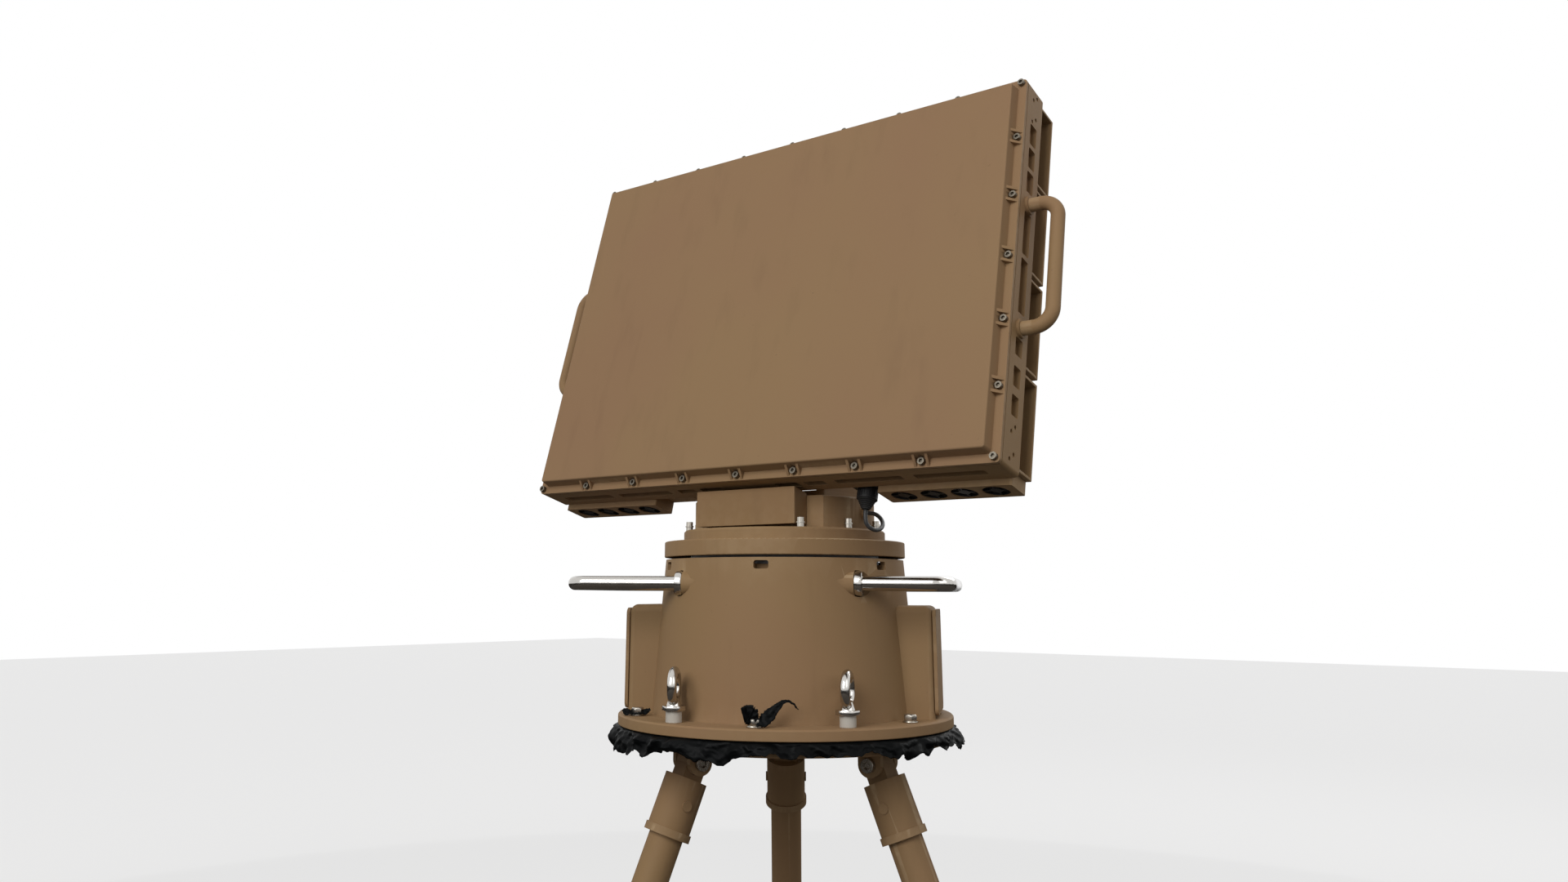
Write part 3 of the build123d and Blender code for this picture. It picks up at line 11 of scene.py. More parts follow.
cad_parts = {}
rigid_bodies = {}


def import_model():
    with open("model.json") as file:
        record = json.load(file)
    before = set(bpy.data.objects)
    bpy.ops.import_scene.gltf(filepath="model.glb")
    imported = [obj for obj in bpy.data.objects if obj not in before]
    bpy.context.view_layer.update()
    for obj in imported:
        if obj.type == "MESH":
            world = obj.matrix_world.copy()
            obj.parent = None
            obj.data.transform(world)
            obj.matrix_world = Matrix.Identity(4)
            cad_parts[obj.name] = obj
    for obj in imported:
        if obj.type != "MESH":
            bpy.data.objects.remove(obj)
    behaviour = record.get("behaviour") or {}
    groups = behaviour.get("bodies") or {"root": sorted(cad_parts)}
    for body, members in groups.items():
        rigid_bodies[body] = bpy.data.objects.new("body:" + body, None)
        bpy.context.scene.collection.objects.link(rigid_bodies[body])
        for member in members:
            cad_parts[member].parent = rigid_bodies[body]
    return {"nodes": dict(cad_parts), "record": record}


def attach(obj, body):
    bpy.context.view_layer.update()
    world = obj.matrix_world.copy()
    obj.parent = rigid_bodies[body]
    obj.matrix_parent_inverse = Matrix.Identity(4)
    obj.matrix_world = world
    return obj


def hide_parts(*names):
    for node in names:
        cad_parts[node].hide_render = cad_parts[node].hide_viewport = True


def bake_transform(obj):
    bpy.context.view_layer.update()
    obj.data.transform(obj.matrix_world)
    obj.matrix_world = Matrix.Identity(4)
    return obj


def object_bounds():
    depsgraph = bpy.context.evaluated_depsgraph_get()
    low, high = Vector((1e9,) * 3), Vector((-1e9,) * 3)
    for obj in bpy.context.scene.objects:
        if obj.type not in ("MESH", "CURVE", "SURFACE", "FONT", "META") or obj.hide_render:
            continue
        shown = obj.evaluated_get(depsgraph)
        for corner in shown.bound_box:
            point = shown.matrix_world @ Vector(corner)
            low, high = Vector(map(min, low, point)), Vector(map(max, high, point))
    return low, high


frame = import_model()
cad_low, cad_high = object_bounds()

log = logging.getLogger("ground_radar")
logging.basicConfig(level=logging.INFO, format="%(message)s")

MM = 0.001


class Slot(Enum):
    """The record's material slots."""

    TAN_PAINT = "tan_paint"
    RADOME_PAINT = "radome_paint"
    COVER_PAINT = "cover_paint"
    STAINLESS = "stainless"
    BRIGHT_ZINC = "bright_zinc"
    BEARING_STEEL = "bearing_steel"
    GEAR_STEEL = "gear_steel"
    BARE_ALUMINIUM = "bare_aluminium"
    BLACK_RUBBER = "black_rubber"
    BLACK_PLASTIC = "black_plastic"
    NYLON = "nylon"
    CIRCUIT_BOARD = "circuit_board"
    BLACK_FILM = "black_film"
    CABLE_JACKET = "cable_jacket"
    KNOB_PLASTIC = "knob_plastic"


# ---------------------------------------------------------------- shader node groups
class NodeSheet:
    """A thin helper that adds and joins nodes in one node tree."""

    def __init__(self, tree: bpy.types.NodeTree) -> None:
        """Work on one node tree."""
        self.tree = tree

    def add(self, kind: str, **values: object) -> bpy.types.Node:
        """Add a node.

        Args:
            kind: the node's class name.
            values: properties of the node, or values of its inputs, by name.

        Returns:
            The new node.
        """
        node = self.tree.nodes.new(kind)
        for name, value in values.items():
            if hasattr(node, name):
                setattr(node, name, value)
            else:
                node.inputs[name.replace("_", " ")].default_value = value
        return node

    def join(self, source: bpy.types.NodeSocket, target: bpy.types.NodeSocket) -> None:
        """Link an output to an input."""
        self.tree.links.new(source, target)

    def ramp(self, source: bpy.types.NodeSocket, low: float, high: float) -> bpy.types.NodeSocket:
        """Spread a value from low..high over 0..1.

        Args:
            source: the value.
            low: what becomes 0.
            high: what becomes 1.

        Returns:
            The spread value.
        """
        node = self.add("ShaderNodeMapRange")
        node.inputs["From Min"].default_value = low
        node.inputs["From Max"].default_value = high
        self.join(source, node.inputs["Value"])
        return node.outputs["Result"]

    def blend(
        self,
        mask: bpy.types.NodeSocket,
        first: bpy.types.NodeSocket,
        second: bpy.types.NodeSocket,
    ) -> bpy.types.NodeSocket:
        """Mix two colours.

        Args:
            mask: 0 gives the first and 1 the second.
            first: the first colour.
            second: the second colour.

        Returns:
            The mixed colour.
        """
        node = self.add("ShaderNodeMix", data_type="RGBA")
        self.join(mask, node.inputs[0])
        self.join(first, node.inputs[6])
        self.join(second, node.inputs[7])
        return node.outputs[2]

    def math(self, operation: str, first: object, second: object = 0.0) -> bpy.types.NodeSocket:
        """Add a math node.

        Args:
            operation: the node's operation.
            first: a socket or a number.
            second: a socket or a number.

        Returns:
            The node's output.
        """
        node = self.add("ShaderNodeMath", operation=operation)
        for index, value in enumerate((first, second)):
            if isinstance(value, (int, float)):
                node.inputs[index].default_value = value
            else:
                self.join(value, node.inputs[index])
        return node.outputs[0]

    def noise(
        self, vector: bpy.types.NodeSocket, scale: object, detail: float
    ) -> bpy.types.NodeSocket:
        """Add a noise texture.

        Args:
            vector: the coordinates.
            scale: a socket or a number.
            detail: the number of octaves.

        Returns:
            The noise value.
        """
        node = self.add("ShaderNodeTexNoise")
        node.inputs["Detail"].default_value = detail
        if isinstance(scale, (int, float)):
            node.inputs["Scale"].default_value = scale
        else:
            self.join(scale, node.inputs["Scale"])
        self.join(vector, node.inputs["Vector"])
        return node.outputs["Fac"]


SURFACE_OUTPUTS = (
    ("Colour", "NodeSocketColor"),
    ("Roughness", "NodeSocketFloat"),
    ("Height", "NodeSocketFloat"),
)


def new_group(name: str, inputs: list[tuple[str, str, object]]) -> bpy.types.NodeTree:
    """Make an empty shader node group that puts out a colour, a roughness and a height.

    Args:
        name: the group's name.
        inputs: name, socket kind and default value of each input.

    Returns:
        The group.
    """
    group = bpy.data.node_groups.new(name, "ShaderNodeTree")
    for label, kind, value in inputs:
        socket = group.interface.new_socket(label, in_out="INPUT", socket_type=kind)
        if value is not None:
            socket.default_value = value
    for label, kind in SURFACE_OUTPUTS:
        group.interface.new_socket(label, in_out="OUTPUT", socket_type=kind)
    group.nodes.new("NodeGroupInput")
    group.nodes.new("NodeGroupOutput")
    return group


class Effects:
    """The shader node groups that several finishes share. A scale is in waves per metre."""

    run_stretch = (26.0, 26.0, 3.0)
    speck_scale = 210.0
    patch_scale = 9.0
    nibble_scale = 70.0
    orange_peel_scale = 160.0
    warm_share = 0.55
    run_share = 0.16
    speck_share = 0.35
    rub_highlight_share = 0.55
    cloud_dulling = 0.08
    rub_polish = 0.12
    orange_peel_depth = 1.2
    smudge_scale = 38.0
    grime_scale = 120.0
    line_stretch = (0.06, 0.06, 1.0)
    smudge_dulling = 0.1
    grime_dulling = 0.3
    bloom_scale = 45.0
    bloom_dulling = 0.25

    def __init__(self) -> None:
        """Build every group once."""
        self.paint = self.build_paint()
        self.metal = self.build_metal()
        self.moulded = self.build_moulded()

    def build_paint(self) -> bpy.types.NodeTree:
        """Matt sprayed paint: cloudy colour, dust, fine specks, lighter edges that stand for
        scuffed paint and a painted edge highlight, and a dry spray grain.

        Returns:
            The group.
        """
        group = new_group(
            "sprayed_paint",
            [
                ("Vector", "NodeSocketVector", None),
                ("Edges", "NodeSocketFloat", 0.5),
                ("Colour", "NodeSocketColor", (0.27, 0.17, 0.095, 1)),
                ("Warm", "NodeSocketColor", (0.3, 0.17, 0.11, 1)),
                ("Rubbed Highlight", "NodeSocketColor", (0.42, 0.3, 0.19, 1)),
                ("Soil", "NodeSocketColor", (0.12, 0.08, 0.05, 1)),
                ("Cloud Scale", "NodeSocketFloat", 4.0),
                ("Grain Scale", "NodeSocketFloat", 900.0),
                ("Roughness", "NodeSocketFloat", 0.6),
            ],
        )
        sheet = NodeSheet(group)
        given = group.nodes["Group Input"].outputs
        out = group.nodes["Group Output"].inputs
        clouds = sheet.ramp(sheet.noise(given["Vector"], given["Cloud Scale"], 3.0), 0.38, 0.66)
        tint = sheet.math("MULTIPLY", clouds, self.warm_share)
        colour = sheet.blend(tint, given["Colour"], given["Warm"])
        stretch = sheet.add("ShaderNodeMapping")
        stretch.inputs["Scale"].default_value = self.run_stretch
        sheet.join(given["Vector"], stretch.inputs["Vector"])
        runs = sheet.ramp(sheet.noise(stretch.outputs["Vector"], 1.0, 4.0), 0.56, 0.78)
        colour = sheet.blend(sheet.math("MULTIPLY", runs, self.run_share), colour, given["Soil"])
        specks = sheet.ramp(sheet.noise(given["Vector"], self.speck_scale, 2.0), 0.7, 0.78)
        patches = sheet.ramp(sheet.noise(given["Vector"], self.patch_scale, 2.0), 0.5, 0.7)
        dots = sheet.math("MULTIPLY", sheet.math("MULTIPLY", specks, patches), self.speck_share)
        colour = sheet.blend(dots, colour, given["Soil"])
        # Convex edges, found by pointiness, turn a lighter colour: partly scuffed paint, partly a
        # painted highlight along the edges.
        worn_highlit_edges = sheet.ramp(given["Edges"], 0.515, 0.575)
        nibble = sheet.ramp(sheet.noise(given["Vector"], self.nibble_scale, 3.0), 0.42, 0.62)
        rub_and_highlight = sheet.math("MULTIPLY", worn_highlit_edges, sheet.math("MULTIPLY_ADD", nibble, 0.5))
        colour = sheet.blend(sheet.math("MULTIPLY", rub_and_highlight, self.rub_highlight_share), colour, given["Rubbed Highlight"])
        sheet.join(colour, out["Colour"])
        grain = sheet.noise(given["Vector"], given["Grain Scale"], 2.0)
        dulled = sheet.math("MULTIPLY", clouds, self.cloud_dulling)
        rough = sheet.math("ADD", given["Roughness"], dulled)
        rough = sheet.math("SUBTRACT", rough, sheet.math("MULTIPLY", rub_and_highlight, self.rub_polish))
        sheet.join(rough, out["Roughness"])
        peel = sheet.noise(given["Vector"], self.orange_peel_scale, 1.0)
        peel = sheet.math("MULTIPLY", peel, self.orange_peel_depth)
        sheet.join(sheet.math("ADD", grain, peel), out["Height"])
        return group

    def build_metal(self) -> bpy.types.NodeTree:
        """Bright metal: fine machining lines, smudges and a little dirt.

        Returns:
            The group.
        """
        group = new_group(
            "worked_metal",
            [
                ("Vector", "NodeSocketVector", None),
                ("Colour", "NodeSocketColor", (0.6, 0.6, 0.6, 1)),
                ("Dirt", "NodeSocketColor", (0.12, 0.09, 0.06, 1)),
                ("Dirt Amount", "NodeSocketFloat", 0.2),
                ("Line Scale", "NodeSocketFloat", 900.0),
                ("Roughness", "NodeSocketFloat", 0.2),
            ],
        )
        sheet = NodeSheet(group)
        given = group.nodes["Group Input"].outputs
        out = group.nodes["Group Output"].inputs
        smudge = sheet.ramp(sheet.noise(given["Vector"], self.smudge_scale, 4.0), 0.42, 0.72)
        dirt = sheet.ramp(sheet.noise(given["Vector"], self.grime_scale, 5.0), 0.55, 0.8)
        mask = sheet.math("MULTIPLY", dirt, given["Dirt Amount"])
        sheet.join(sheet.blend(mask, given["Colour"], given["Dirt"]), out["Colour"])
        dulled = sheet.math("MULTIPLY", smudge, self.smudge_dulling)
        rough = sheet.math("ADD", given["Roughness"], dulled)
        rough = sheet.math("ADD", rough, sheet.math("MULTIPLY", mask, self.grime_dulling))
        sheet.join(rough, out["Roughness"])
        stretch = sheet.add("ShaderNodeMapping")
        stretch.inputs["Scale"].default_value = self.line_stretch
        sheet.join(given["Vector"], stretch.inputs["Vector"])
        lines = sheet.noise(stretch.outputs["Vector"], given["Line Scale"], 2.0)
        sheet.join(lines, out["Height"])
        return group

    def build_moulded(self) -> bpy.types.NodeTree:
        """Moulded rubber or plastic: spark grain and chalky bloom.

        Returns:
            The group.
        """
        group = new_group(
            "moulded_skin",
            [
                ("Vector", "NodeSocketVector", None),
                ("Colour", "NodeSocketColor", (0.03, 0.03, 0.03, 1)),
                ("Bloom", "NodeSocketColor", (0.1, 0.09, 0.08, 1)),
                ("Bloom Amount", "NodeSocketFloat", 0.4),
                ("Grain Scale", "NodeSocketFloat", 1200.0),
                ("Roughness", "NodeSocketFloat", 0.5),
            ],
        )
        sheet = NodeSheet(group)
        given = group.nodes["Group Input"].outputs
        out = group.nodes["Group Output"].inputs
        bloom = sheet.ramp(sheet.noise(given["Vector"], self.bloom_scale, 4.0), 0.45, 0.75)
        mask = sheet.math("MULTIPLY", bloom, given["Bloom Amount"])
        sheet.join(sheet.blend(mask, given["Colour"], given["Bloom"]), out["Colour"])
        dulled = sheet.math("MULTIPLY", mask, self.bloom_dulling)
        sheet.join(sheet.math("ADD", given["Roughness"], dulled), out["Roughness"])
        sheet.join(sheet.noise(given["Vector"], given["Grain Scale"], 3.0), out["Height"])
        return group


# ---------------------------------------------------------------- finishes
class Finish:
    """What every finish has: a Principled shader that one effect group feeds."""

    bump_strength = 0.6

    def start(
        self, name: str, group: bpy.types.NodeTree, values: dict[str, object]
    ) -> tuple[bpy.types.Material, NodeSheet, bpy.types.Node, bpy.types.Node]:
        """Make a material with a Principled shader and one effect group on Object coordinates.

        Args:
            name: the material's name.
            group: the effect group.
            values: what goes into the group's inputs, by their names; colours have no alpha.

        Returns:
            The material, its node sheet, its shader and the group's node.
        """
        material = bpy.data.materials.new(name)
        material.use_nodes = True
        sheet = NodeSheet(material.node_tree)
        shader = material.node_tree.nodes["Principled BSDF"]
        effect = sheet.add("ShaderNodeGroup")
        effect.node_tree = group
        for label, value in values.items():
            filled = (*value, 1) if isinstance(value, tuple) else value
            effect.inputs[label].default_value = filled
        place = sheet.add("ShaderNodeTexCoord")
        sheet.join(place.outputs["Object"], effect.inputs["Vector"])
        sheet.join(effect.outputs["Colour"], shader.inputs["Base Color"])
        sheet.join(effect.outputs["Roughness"], shader.inputs["Roughness"])
        return material, sheet, shader, effect

    def bump(
        self, sheet: NodeSheet, effect: bpy.types.Node, shader: bpy.types.Node, depth: float
    ) -> None:
        """Turn the effect's height into a normal.

        Args:
            sheet: the material's node sheet.
            effect: the effect group's node.
            shader: the Principled shader.
            depth: the bump's height in metres.
        """
        node = sheet.add("ShaderNodeBump")
        node.inputs["Strength"].default_value = self.bump_strength
        node.inputs["Distance"].default_value = depth
        sheet.join(effect.outputs["Height"], node.inputs["Height"])
        sheet.join(node.outputs["Normal"], shader.inputs["Normal"])


@dataclass(frozen=True)
class PaintFinish(Finish):
    """Matt sand paint."""

    name: str
    colour: tuple[float, float, float]
    warm: tuple[float, float, float]
    rubbed_highlight: tuple[float, float, float]
    soil: tuple[float, float, float]
    cloud_scale: float = 3.5
    grain_scale: float = 900.0
    roughness: float = 0.62
    bump_depth: float = 0.00012
    specular: float = 0.2
    edge_wear_highlight: bool = True

    def material(self, effects: Effects) -> bpy.types.Material:
        """Build the paint's material.

        Args:
            effects: the shared node groups.

        Returns:
            The material.
        """
        values = {
            "Colour": self.colour,
            "Warm": self.warm,
            "Rubbed Highlight": self.rubbed_highlight,
            "Soil": self.soil,
            "Cloud Scale": self.cloud_scale,
            "Grain Scale": self.grain_scale,
            "Roughness": self.roughness,
        }
        material, sheet, shader, effect = self.start(self.name, effects.paint, values)
        # Pointiness feeds the lighter edges: scuffed paint and a painted edge highlight.
        if self.edge_wear_highlight:
            surface = sheet.add("ShaderNodeNewGeometry")
            sheet.join(surface.outputs["Pointiness"], effect.inputs["Edges"])
        shader.inputs["Specular IOR Level"].default_value = self.specular
        self.bump(sheet, effect, shader, self.bump_depth)
        return material


@dataclass(frozen=True)
class MetalFinish(Finish):
    """Bare metal."""

    name: str
    colour: tuple[float, float, float]
    roughness: float
    dirt_amount: float = 0.2
    line_scale: float = 900.0
    bump_depth: float = 0.00003

    def material(self, effects: Effects) -> bpy.types.Material:
        """Build the metal's material.

        Args:
            effects: the shared node groups.

        Returns:
            The material.
        """
        values = {
            "Colour": self.colour,
            "Dirt Amount": self.dirt_amount,
            "Line Scale": self.line_scale,
            "Roughness": self.roughness,
        }
        material, sheet, shader, effect = self.start(self.name, effects.metal, values)
        shader.inputs["Metallic"].default_value = 1.0
        self.bump(sheet, effect, shader, self.bump_depth)
        return material


@dataclass(frozen=True)
class MouldedFinish(Finish):
    """Moulded rubber, plastic or film."""

    name: str
    colour: tuple[float, float, float]
    bloom: tuple[float, float, float]
    roughness: float
    bloom_amount: float = 0.4
    grain_scale: float = 1200.0
    bump_depth: float = 0.00006
    transmission: float = 0.0
    specular: float = 0.5

    def material(self, effects: Effects) -> bpy.types.Material:
        """Build the moulding's material.

        Args:
            effects: the shared node groups.

        Returns:
            The material.
        """
        values = {
            "Colour": self.colour,
            "Bloom": self.bloom,
            "Bloom Amount": self.bloom_amount,
            "Grain Scale": self.grain_scale,
            "Roughness": self.roughness,
        }
        material, sheet, shader, effect = self.start(self.name, effects.moulded, values)
        shader.inputs["Transmission Weight"].default_value = self.transmission
        shader.inputs["Specular IOR Level"].default_value = self.specular
        self.bump(sheet, effect, shader, self.bump_depth)
        return material


SAND = (0.272, 0.17, 0.08)
SAND_WARM = (0.272, 0.156, 0.084)
# The lighter edge colour stands for scuffed paint and a painted edge highlight.
SAND_RUBBED_HIGHLIGHT = (0.47, 0.34, 0.2)
SAND_SOIL = (0.11, 0.07, 0.04)

FINISHES: dict[Slot, Finish] = {
    Slot.TAN_PAINT: PaintFinish("matt_sand_paint", SAND, SAND_WARM, SAND_RUBBED_HIGHLIGHT, SAND_SOIL),
    Slot.RADOME_PAINT: PaintFinish(
        "radome_sand_paint", (0.27, 0.168, 0.083), (0.268, 0.154, 0.088), SAND_RUBBED_HIGHLIGHT, SAND_SOIL,
        cloud_scale=2.6, grain_scale=1100.0, roughness=0.66, bump_depth=0.00008,
    ),
    Slot.COVER_PAINT: PaintFinish(
        "cover_sand_paint", (0.242, 0.146, 0.066), SAND_WARM, SAND_RUBBED_HIGHLIGHT, SAND_SOIL,
        cloud_scale=5.0,
    ),
    Slot.STAINLESS: MetalFinish(
        "polished_stainless", (0.56, 0.54, 0.51), 0.13, 0.15, 700.0, 0.00001,
    ),
    Slot.BRIGHT_ZINC: MetalFinish("bright_zinc", (0.46, 0.43, 0.38), 0.24, 0.35, 1500.0),
    # The bearing steel is coloured near black as painted shade in the gap where the bearing shows.
    Slot.BEARING_STEEL: MetalFinish("bearing_steel_painted_shade", (0.09, 0.085, 0.08), 0.34, 0.5),
    Slot.GEAR_STEEL: MetalFinish("oiled_gear_steel", (0.36, 0.36, 0.37), 0.3, 0.4),
    Slot.BARE_ALUMINIUM: MetalFinish("machined_aluminium", (0.78, 0.79, 0.8), 0.4, 0.12, 1100.0),
    Slot.BLACK_RUBBER: MouldedFinish(
        "black_rubber", (0.012, 0.012, 0.012), (0.05, 0.045, 0.04), 0.7,
    ),
    Slot.BLACK_PLASTIC: MouldedFinish(
        "black_plastic", (0.01, 0.01, 0.011), (0.035, 0.028, 0.02), 0.5, 0.3,
    ),
    Slot.NYLON: MouldedFinish(
        "natural_nylon", (0.66, 0.62, 0.55), (0.78, 0.75, 0.68), 0.32, 0.4, 500.0, 0.00004, 0.3,
    ),
    Slot.CIRCUIT_BOARD: MouldedFinish(
        "green_circuit_board", (0.02, 0.13, 0.05), (0.35, 0.25, 0.08), 0.35, 0.25, 300.0, 0.00005,
    ),
    Slot.BLACK_FILM: MouldedFinish(
        "thin_black_film", (0.0014, 0.0017, 0.0019), (0.0045, 0.0053, 0.0055), 0.44, 0.6, 210.0,
        bump_depth=0.0003, specular=0.06,
    ),
    Slot.CABLE_JACKET: MouldedFinish(
        "cable_jacket", (0.03, 0.03, 0.03), (0.09, 0.08, 0.07), 0.5, 0.5,
    ),
    Slot.KNOB_PLASTIC: MouldedFinish(
        "knob_plastic", (0.018, 0.018, 0.018), (0.06, 0.05, 0.04), 0.38, 0.3,
    ),
}

# The two large flat pieces have no lighter edges, neither scuffing nor painted edge highlight,
# because they mottle flat faces of few vertices.
OWN_FINISHES: dict[str, Finish] = {
    "radome_screws": MetalFinish("aged_screw_steel", (0.17, 0.15, 0.12), 0.34, 0.5, 1500.0),
    "cold_plate": PaintFinish(
        "plate_sand_paint", SAND, SAND_WARM, SAND_RUBBED_HIGHLIGHT, SAND_SOIL, edge_wear_highlight=False,
    ),
    "antenna_frame": PaintFinish(
        "frame_sand_paint", SAND, SAND_WARM, SAND_RUBBED_HIGHLIGHT, SAND_SOIL, edge_wear_highlight=False,
    ),
}


class Wardrobe:
    """Hands out one material for each slot, and the few that single pieces have."""

    def __init__(self) -> None:
        """Build the shared groups and start with no materials."""
        self.effects = Effects()
        self.made: dict[Slot, bpy.types.Material] = {}

    def get(self, slot: Slot) -> bpy.types.Material:
        """Give the material of a slot, building it the first time.

        Args:
            slot: the material slot.

        Returns:
            The material.
        """
        if slot not in self.made:
            self.made[slot] = FINISHES[slot].material(self.effects)
        return self.made[slot]

    def dress(self, piece: bpy.types.Object, slot: Slot) -> None:
        """Give a piece one material all over."""
        piece.data.materials.clear()
        piece.data.materials.append(self.get(slot))

    def dress_own(self, piece: bpy.types.Object) -> None:
        """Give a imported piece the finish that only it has."""
        piece.data.materials.clear()
        piece.data.materials.append(OWN_FINISHES[piece.name].material(self.effects))


# ---------------------------------------------------------------- modelling helpers
def deselect() -> None:
    """Leave nothing selected."""
    for item in bpy.context.view_layer.objects:
        item.select_set(False)


def pick(piece: bpy.types.Object) -> bpy.types.Object:
    """Select one object only and make it active.

    Args:
        piece: the object.

    Returns:
        The same object.
    """
    deselect()
    piece.select_set(True)
    bpy.context.view_layer.objects.active = piece
    return piece


def last_made(name: str) -> bpy.types.Object:
    """Name the object that an operator has just added.

    Args:
        name: its new name.

    Returns:
        The object.
    """
    piece = bpy.context.object
    piece.name = name
    piece.data.name = name
    return piece


def settle(piece: bpy.types.Object) -> bpy.types.Object:
    """Put an object's place into its mesh.

    Args:
        piece: the object.

    Returns:
        The same object, at the origin, unturned and unscaled.
    """
    pick(piece)
    bpy.ops.object.transform_apply(location=True, rotation=True, scale=True)
    return piece


def apply_all(piece: bpy.types.Object) -> bpy.types.Object:
    """Apply every modifier in order.

    Args:
        piece: the object.

    Returns:
        The same object.
    """
    pick(piece)
    for modifier in list(piece.modifiers):
        bpy.ops.object.modifier_apply(modifier=modifier.name)
    return piece


def smooth_below(piece: bpy.types.Object, angle: float) -> None:
    """Shade a piece smoothly except at edges sharper than some degrees."""
    pick(piece)
    bpy.ops.object.shade_smooth_by_angle(angle=radians(angle))


def soften(piece: bpy.types.Object, width: float, segments: int, angle: float) -> bpy.types.Object:
    """Round a piece's sharp edges and shade it smoothly.

    Args:
        piece: the piece.
        width: the bevel's width in metres.
        segments: the bevel's segments.
        angle: edges sharper than this many degrees are rounded.

    Returns:
        The piece.
    """
    bevel = piece.modifiers.new("edges", "BEVEL")
    bevel.width = width
    bevel.segments = segments
    bevel.limit_method = "ANGLE"
    bevel.angle_limit = radians(angle)
    apply_all(piece)
    smooth_below(piece, 40)
    return piece


class Fusing(Enum):
    """The ways to fuse two closed pieces."""

    JOIN = "UNION"
    CUT = "DIFFERENCE"
    COMMON = "INTERSECT"


def fuse(
    first: bpy.types.Object, second: bpy.types.Object, way: Fusing = Fusing.JOIN
) -> bpy.types.Object:
    """Join, cut or intersect two closed pieces.

    Args:
        first: the piece that stays.
        second: the piece that is used up.
        way: how they are fused.

    Returns:
        The first piece.
    """
    join = first.modifiers.new("join", "BOOLEAN")
    join.operation = way.value
    join.solver = "EXACT"
    join.object = second
    pick(first)
    bpy.ops.object.modifier_apply(modifier=join.name)
    bpy.data.objects.remove(second)
    return first


def disc(
    name: str, radius: float, low: float, high: float, sides: int = 48, top: float | None = None
) -> bpy.types.Object:
    """Add a cylinder or cone that stands on the Z axis.

    Args:
        name: the object's name.
        radius: its lower radius in metres.
        low: its lower level.
        high: its upper level.
        sides: its number of sides.
        top: its upper radius, if that differs.

    Returns:
        The object.
    """
    deselect()
    bpy.ops.mesh.primitive_cone_add(
        vertices=sides,
        radius1=radius,
        radius2=radius if top is None else top,
        depth=high - low,
        location=(0, 0, (low + high) / 2),
    )
    return settle(last_made(name))


def copy_to(piece: bpy.types.Object, places: list[Matrix], name: str) -> bpy.types.Object:
    """Copy a piece to several places and join the copies into one object.

    Args:
        piece: the pattern, which is used up.
        places: a matrix for each copy.
        name: the joined object's name.

    Returns:
        The joined object.
    """
    copies = []
    for place in places:
        twin = piece.copy()
        twin.data = piece.data.copy()
        bpy.context.scene.collection.objects.link(twin)
        twin.data.transform(place)
        copies.append(twin)
    bpy.data.objects.remove(piece)
    deselect()
    for twin in copies:
        twin.select_set(True)
    bpy.context.view_layer.objects.active = copies[0]
    if len(copies) > 1:
        bpy.ops.object.join()
    joined = bpy.context.view_layer.objects.active
    joined.name = name
    joined.data.name = name
    return joined


def mesh_object(name: str, points: list[Vector], faces: list[tuple[int, ...]]) -> bpy.types.Object:
    """Make a mesh object, smooth and with its faces turned outwards.

    Args:
        name: the object's name.
        points: its points in metres.
        faces: each face's points, by number.

    Returns:
        The object.
    """
    data = bpy.data.meshes.new(name)
    data.from_pydata([tuple(p) for p in points], [], faces)
    piece = bpy.data.objects.new(name, data)
    bpy.context.scene.collection.objects.link(piece)
    work = bmesh.new()
    work.from_mesh(data)
    bmesh.ops.recalc_face_normals(work, faces=work.faces)
    for face in work.faces:
        face.smooth = True
    work.to_mesh(data)
    work.free()
    return piece


def place(at: Vector, turn: float = 0.0) -> Matrix:
    """A matrix that turns about Z by some degrees and then moves to a point."""
    return Matrix.Translation(at) @ Matrix.Rotation(radians(turn), 4, "Z")


def polar(radius: float, angle: float, z: float) -> Vector:
    """A point at a radius in metres, an angle in degrees and a level."""
    return Vector((radius * cos(radians(angle)), radius * sin(radians(angle)), z))


@dataclass
class Workshop:
    """What the sub-assemblies share."""

    wardrobe: Wardrobe
    count: int = 0

    def hand_over(self, piece: bpy.types.Object, body: str, slot: Slot, *nodes: str) -> None:
        """Dress a new piece, seat it on its body and hide the CAD nodes that it stands for.

        Args:
            piece: the new piece.
            body: the CAD body that carries it.
            slot: its material slot.
            nodes: the CAD nodes that it replaces.
        """
        self.wardrobe.dress(piece, slot)
        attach(piece, body)
        if nodes:
            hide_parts(*nodes)
        self.count += 1
        log.info("made %s on %s", piece.name, body)


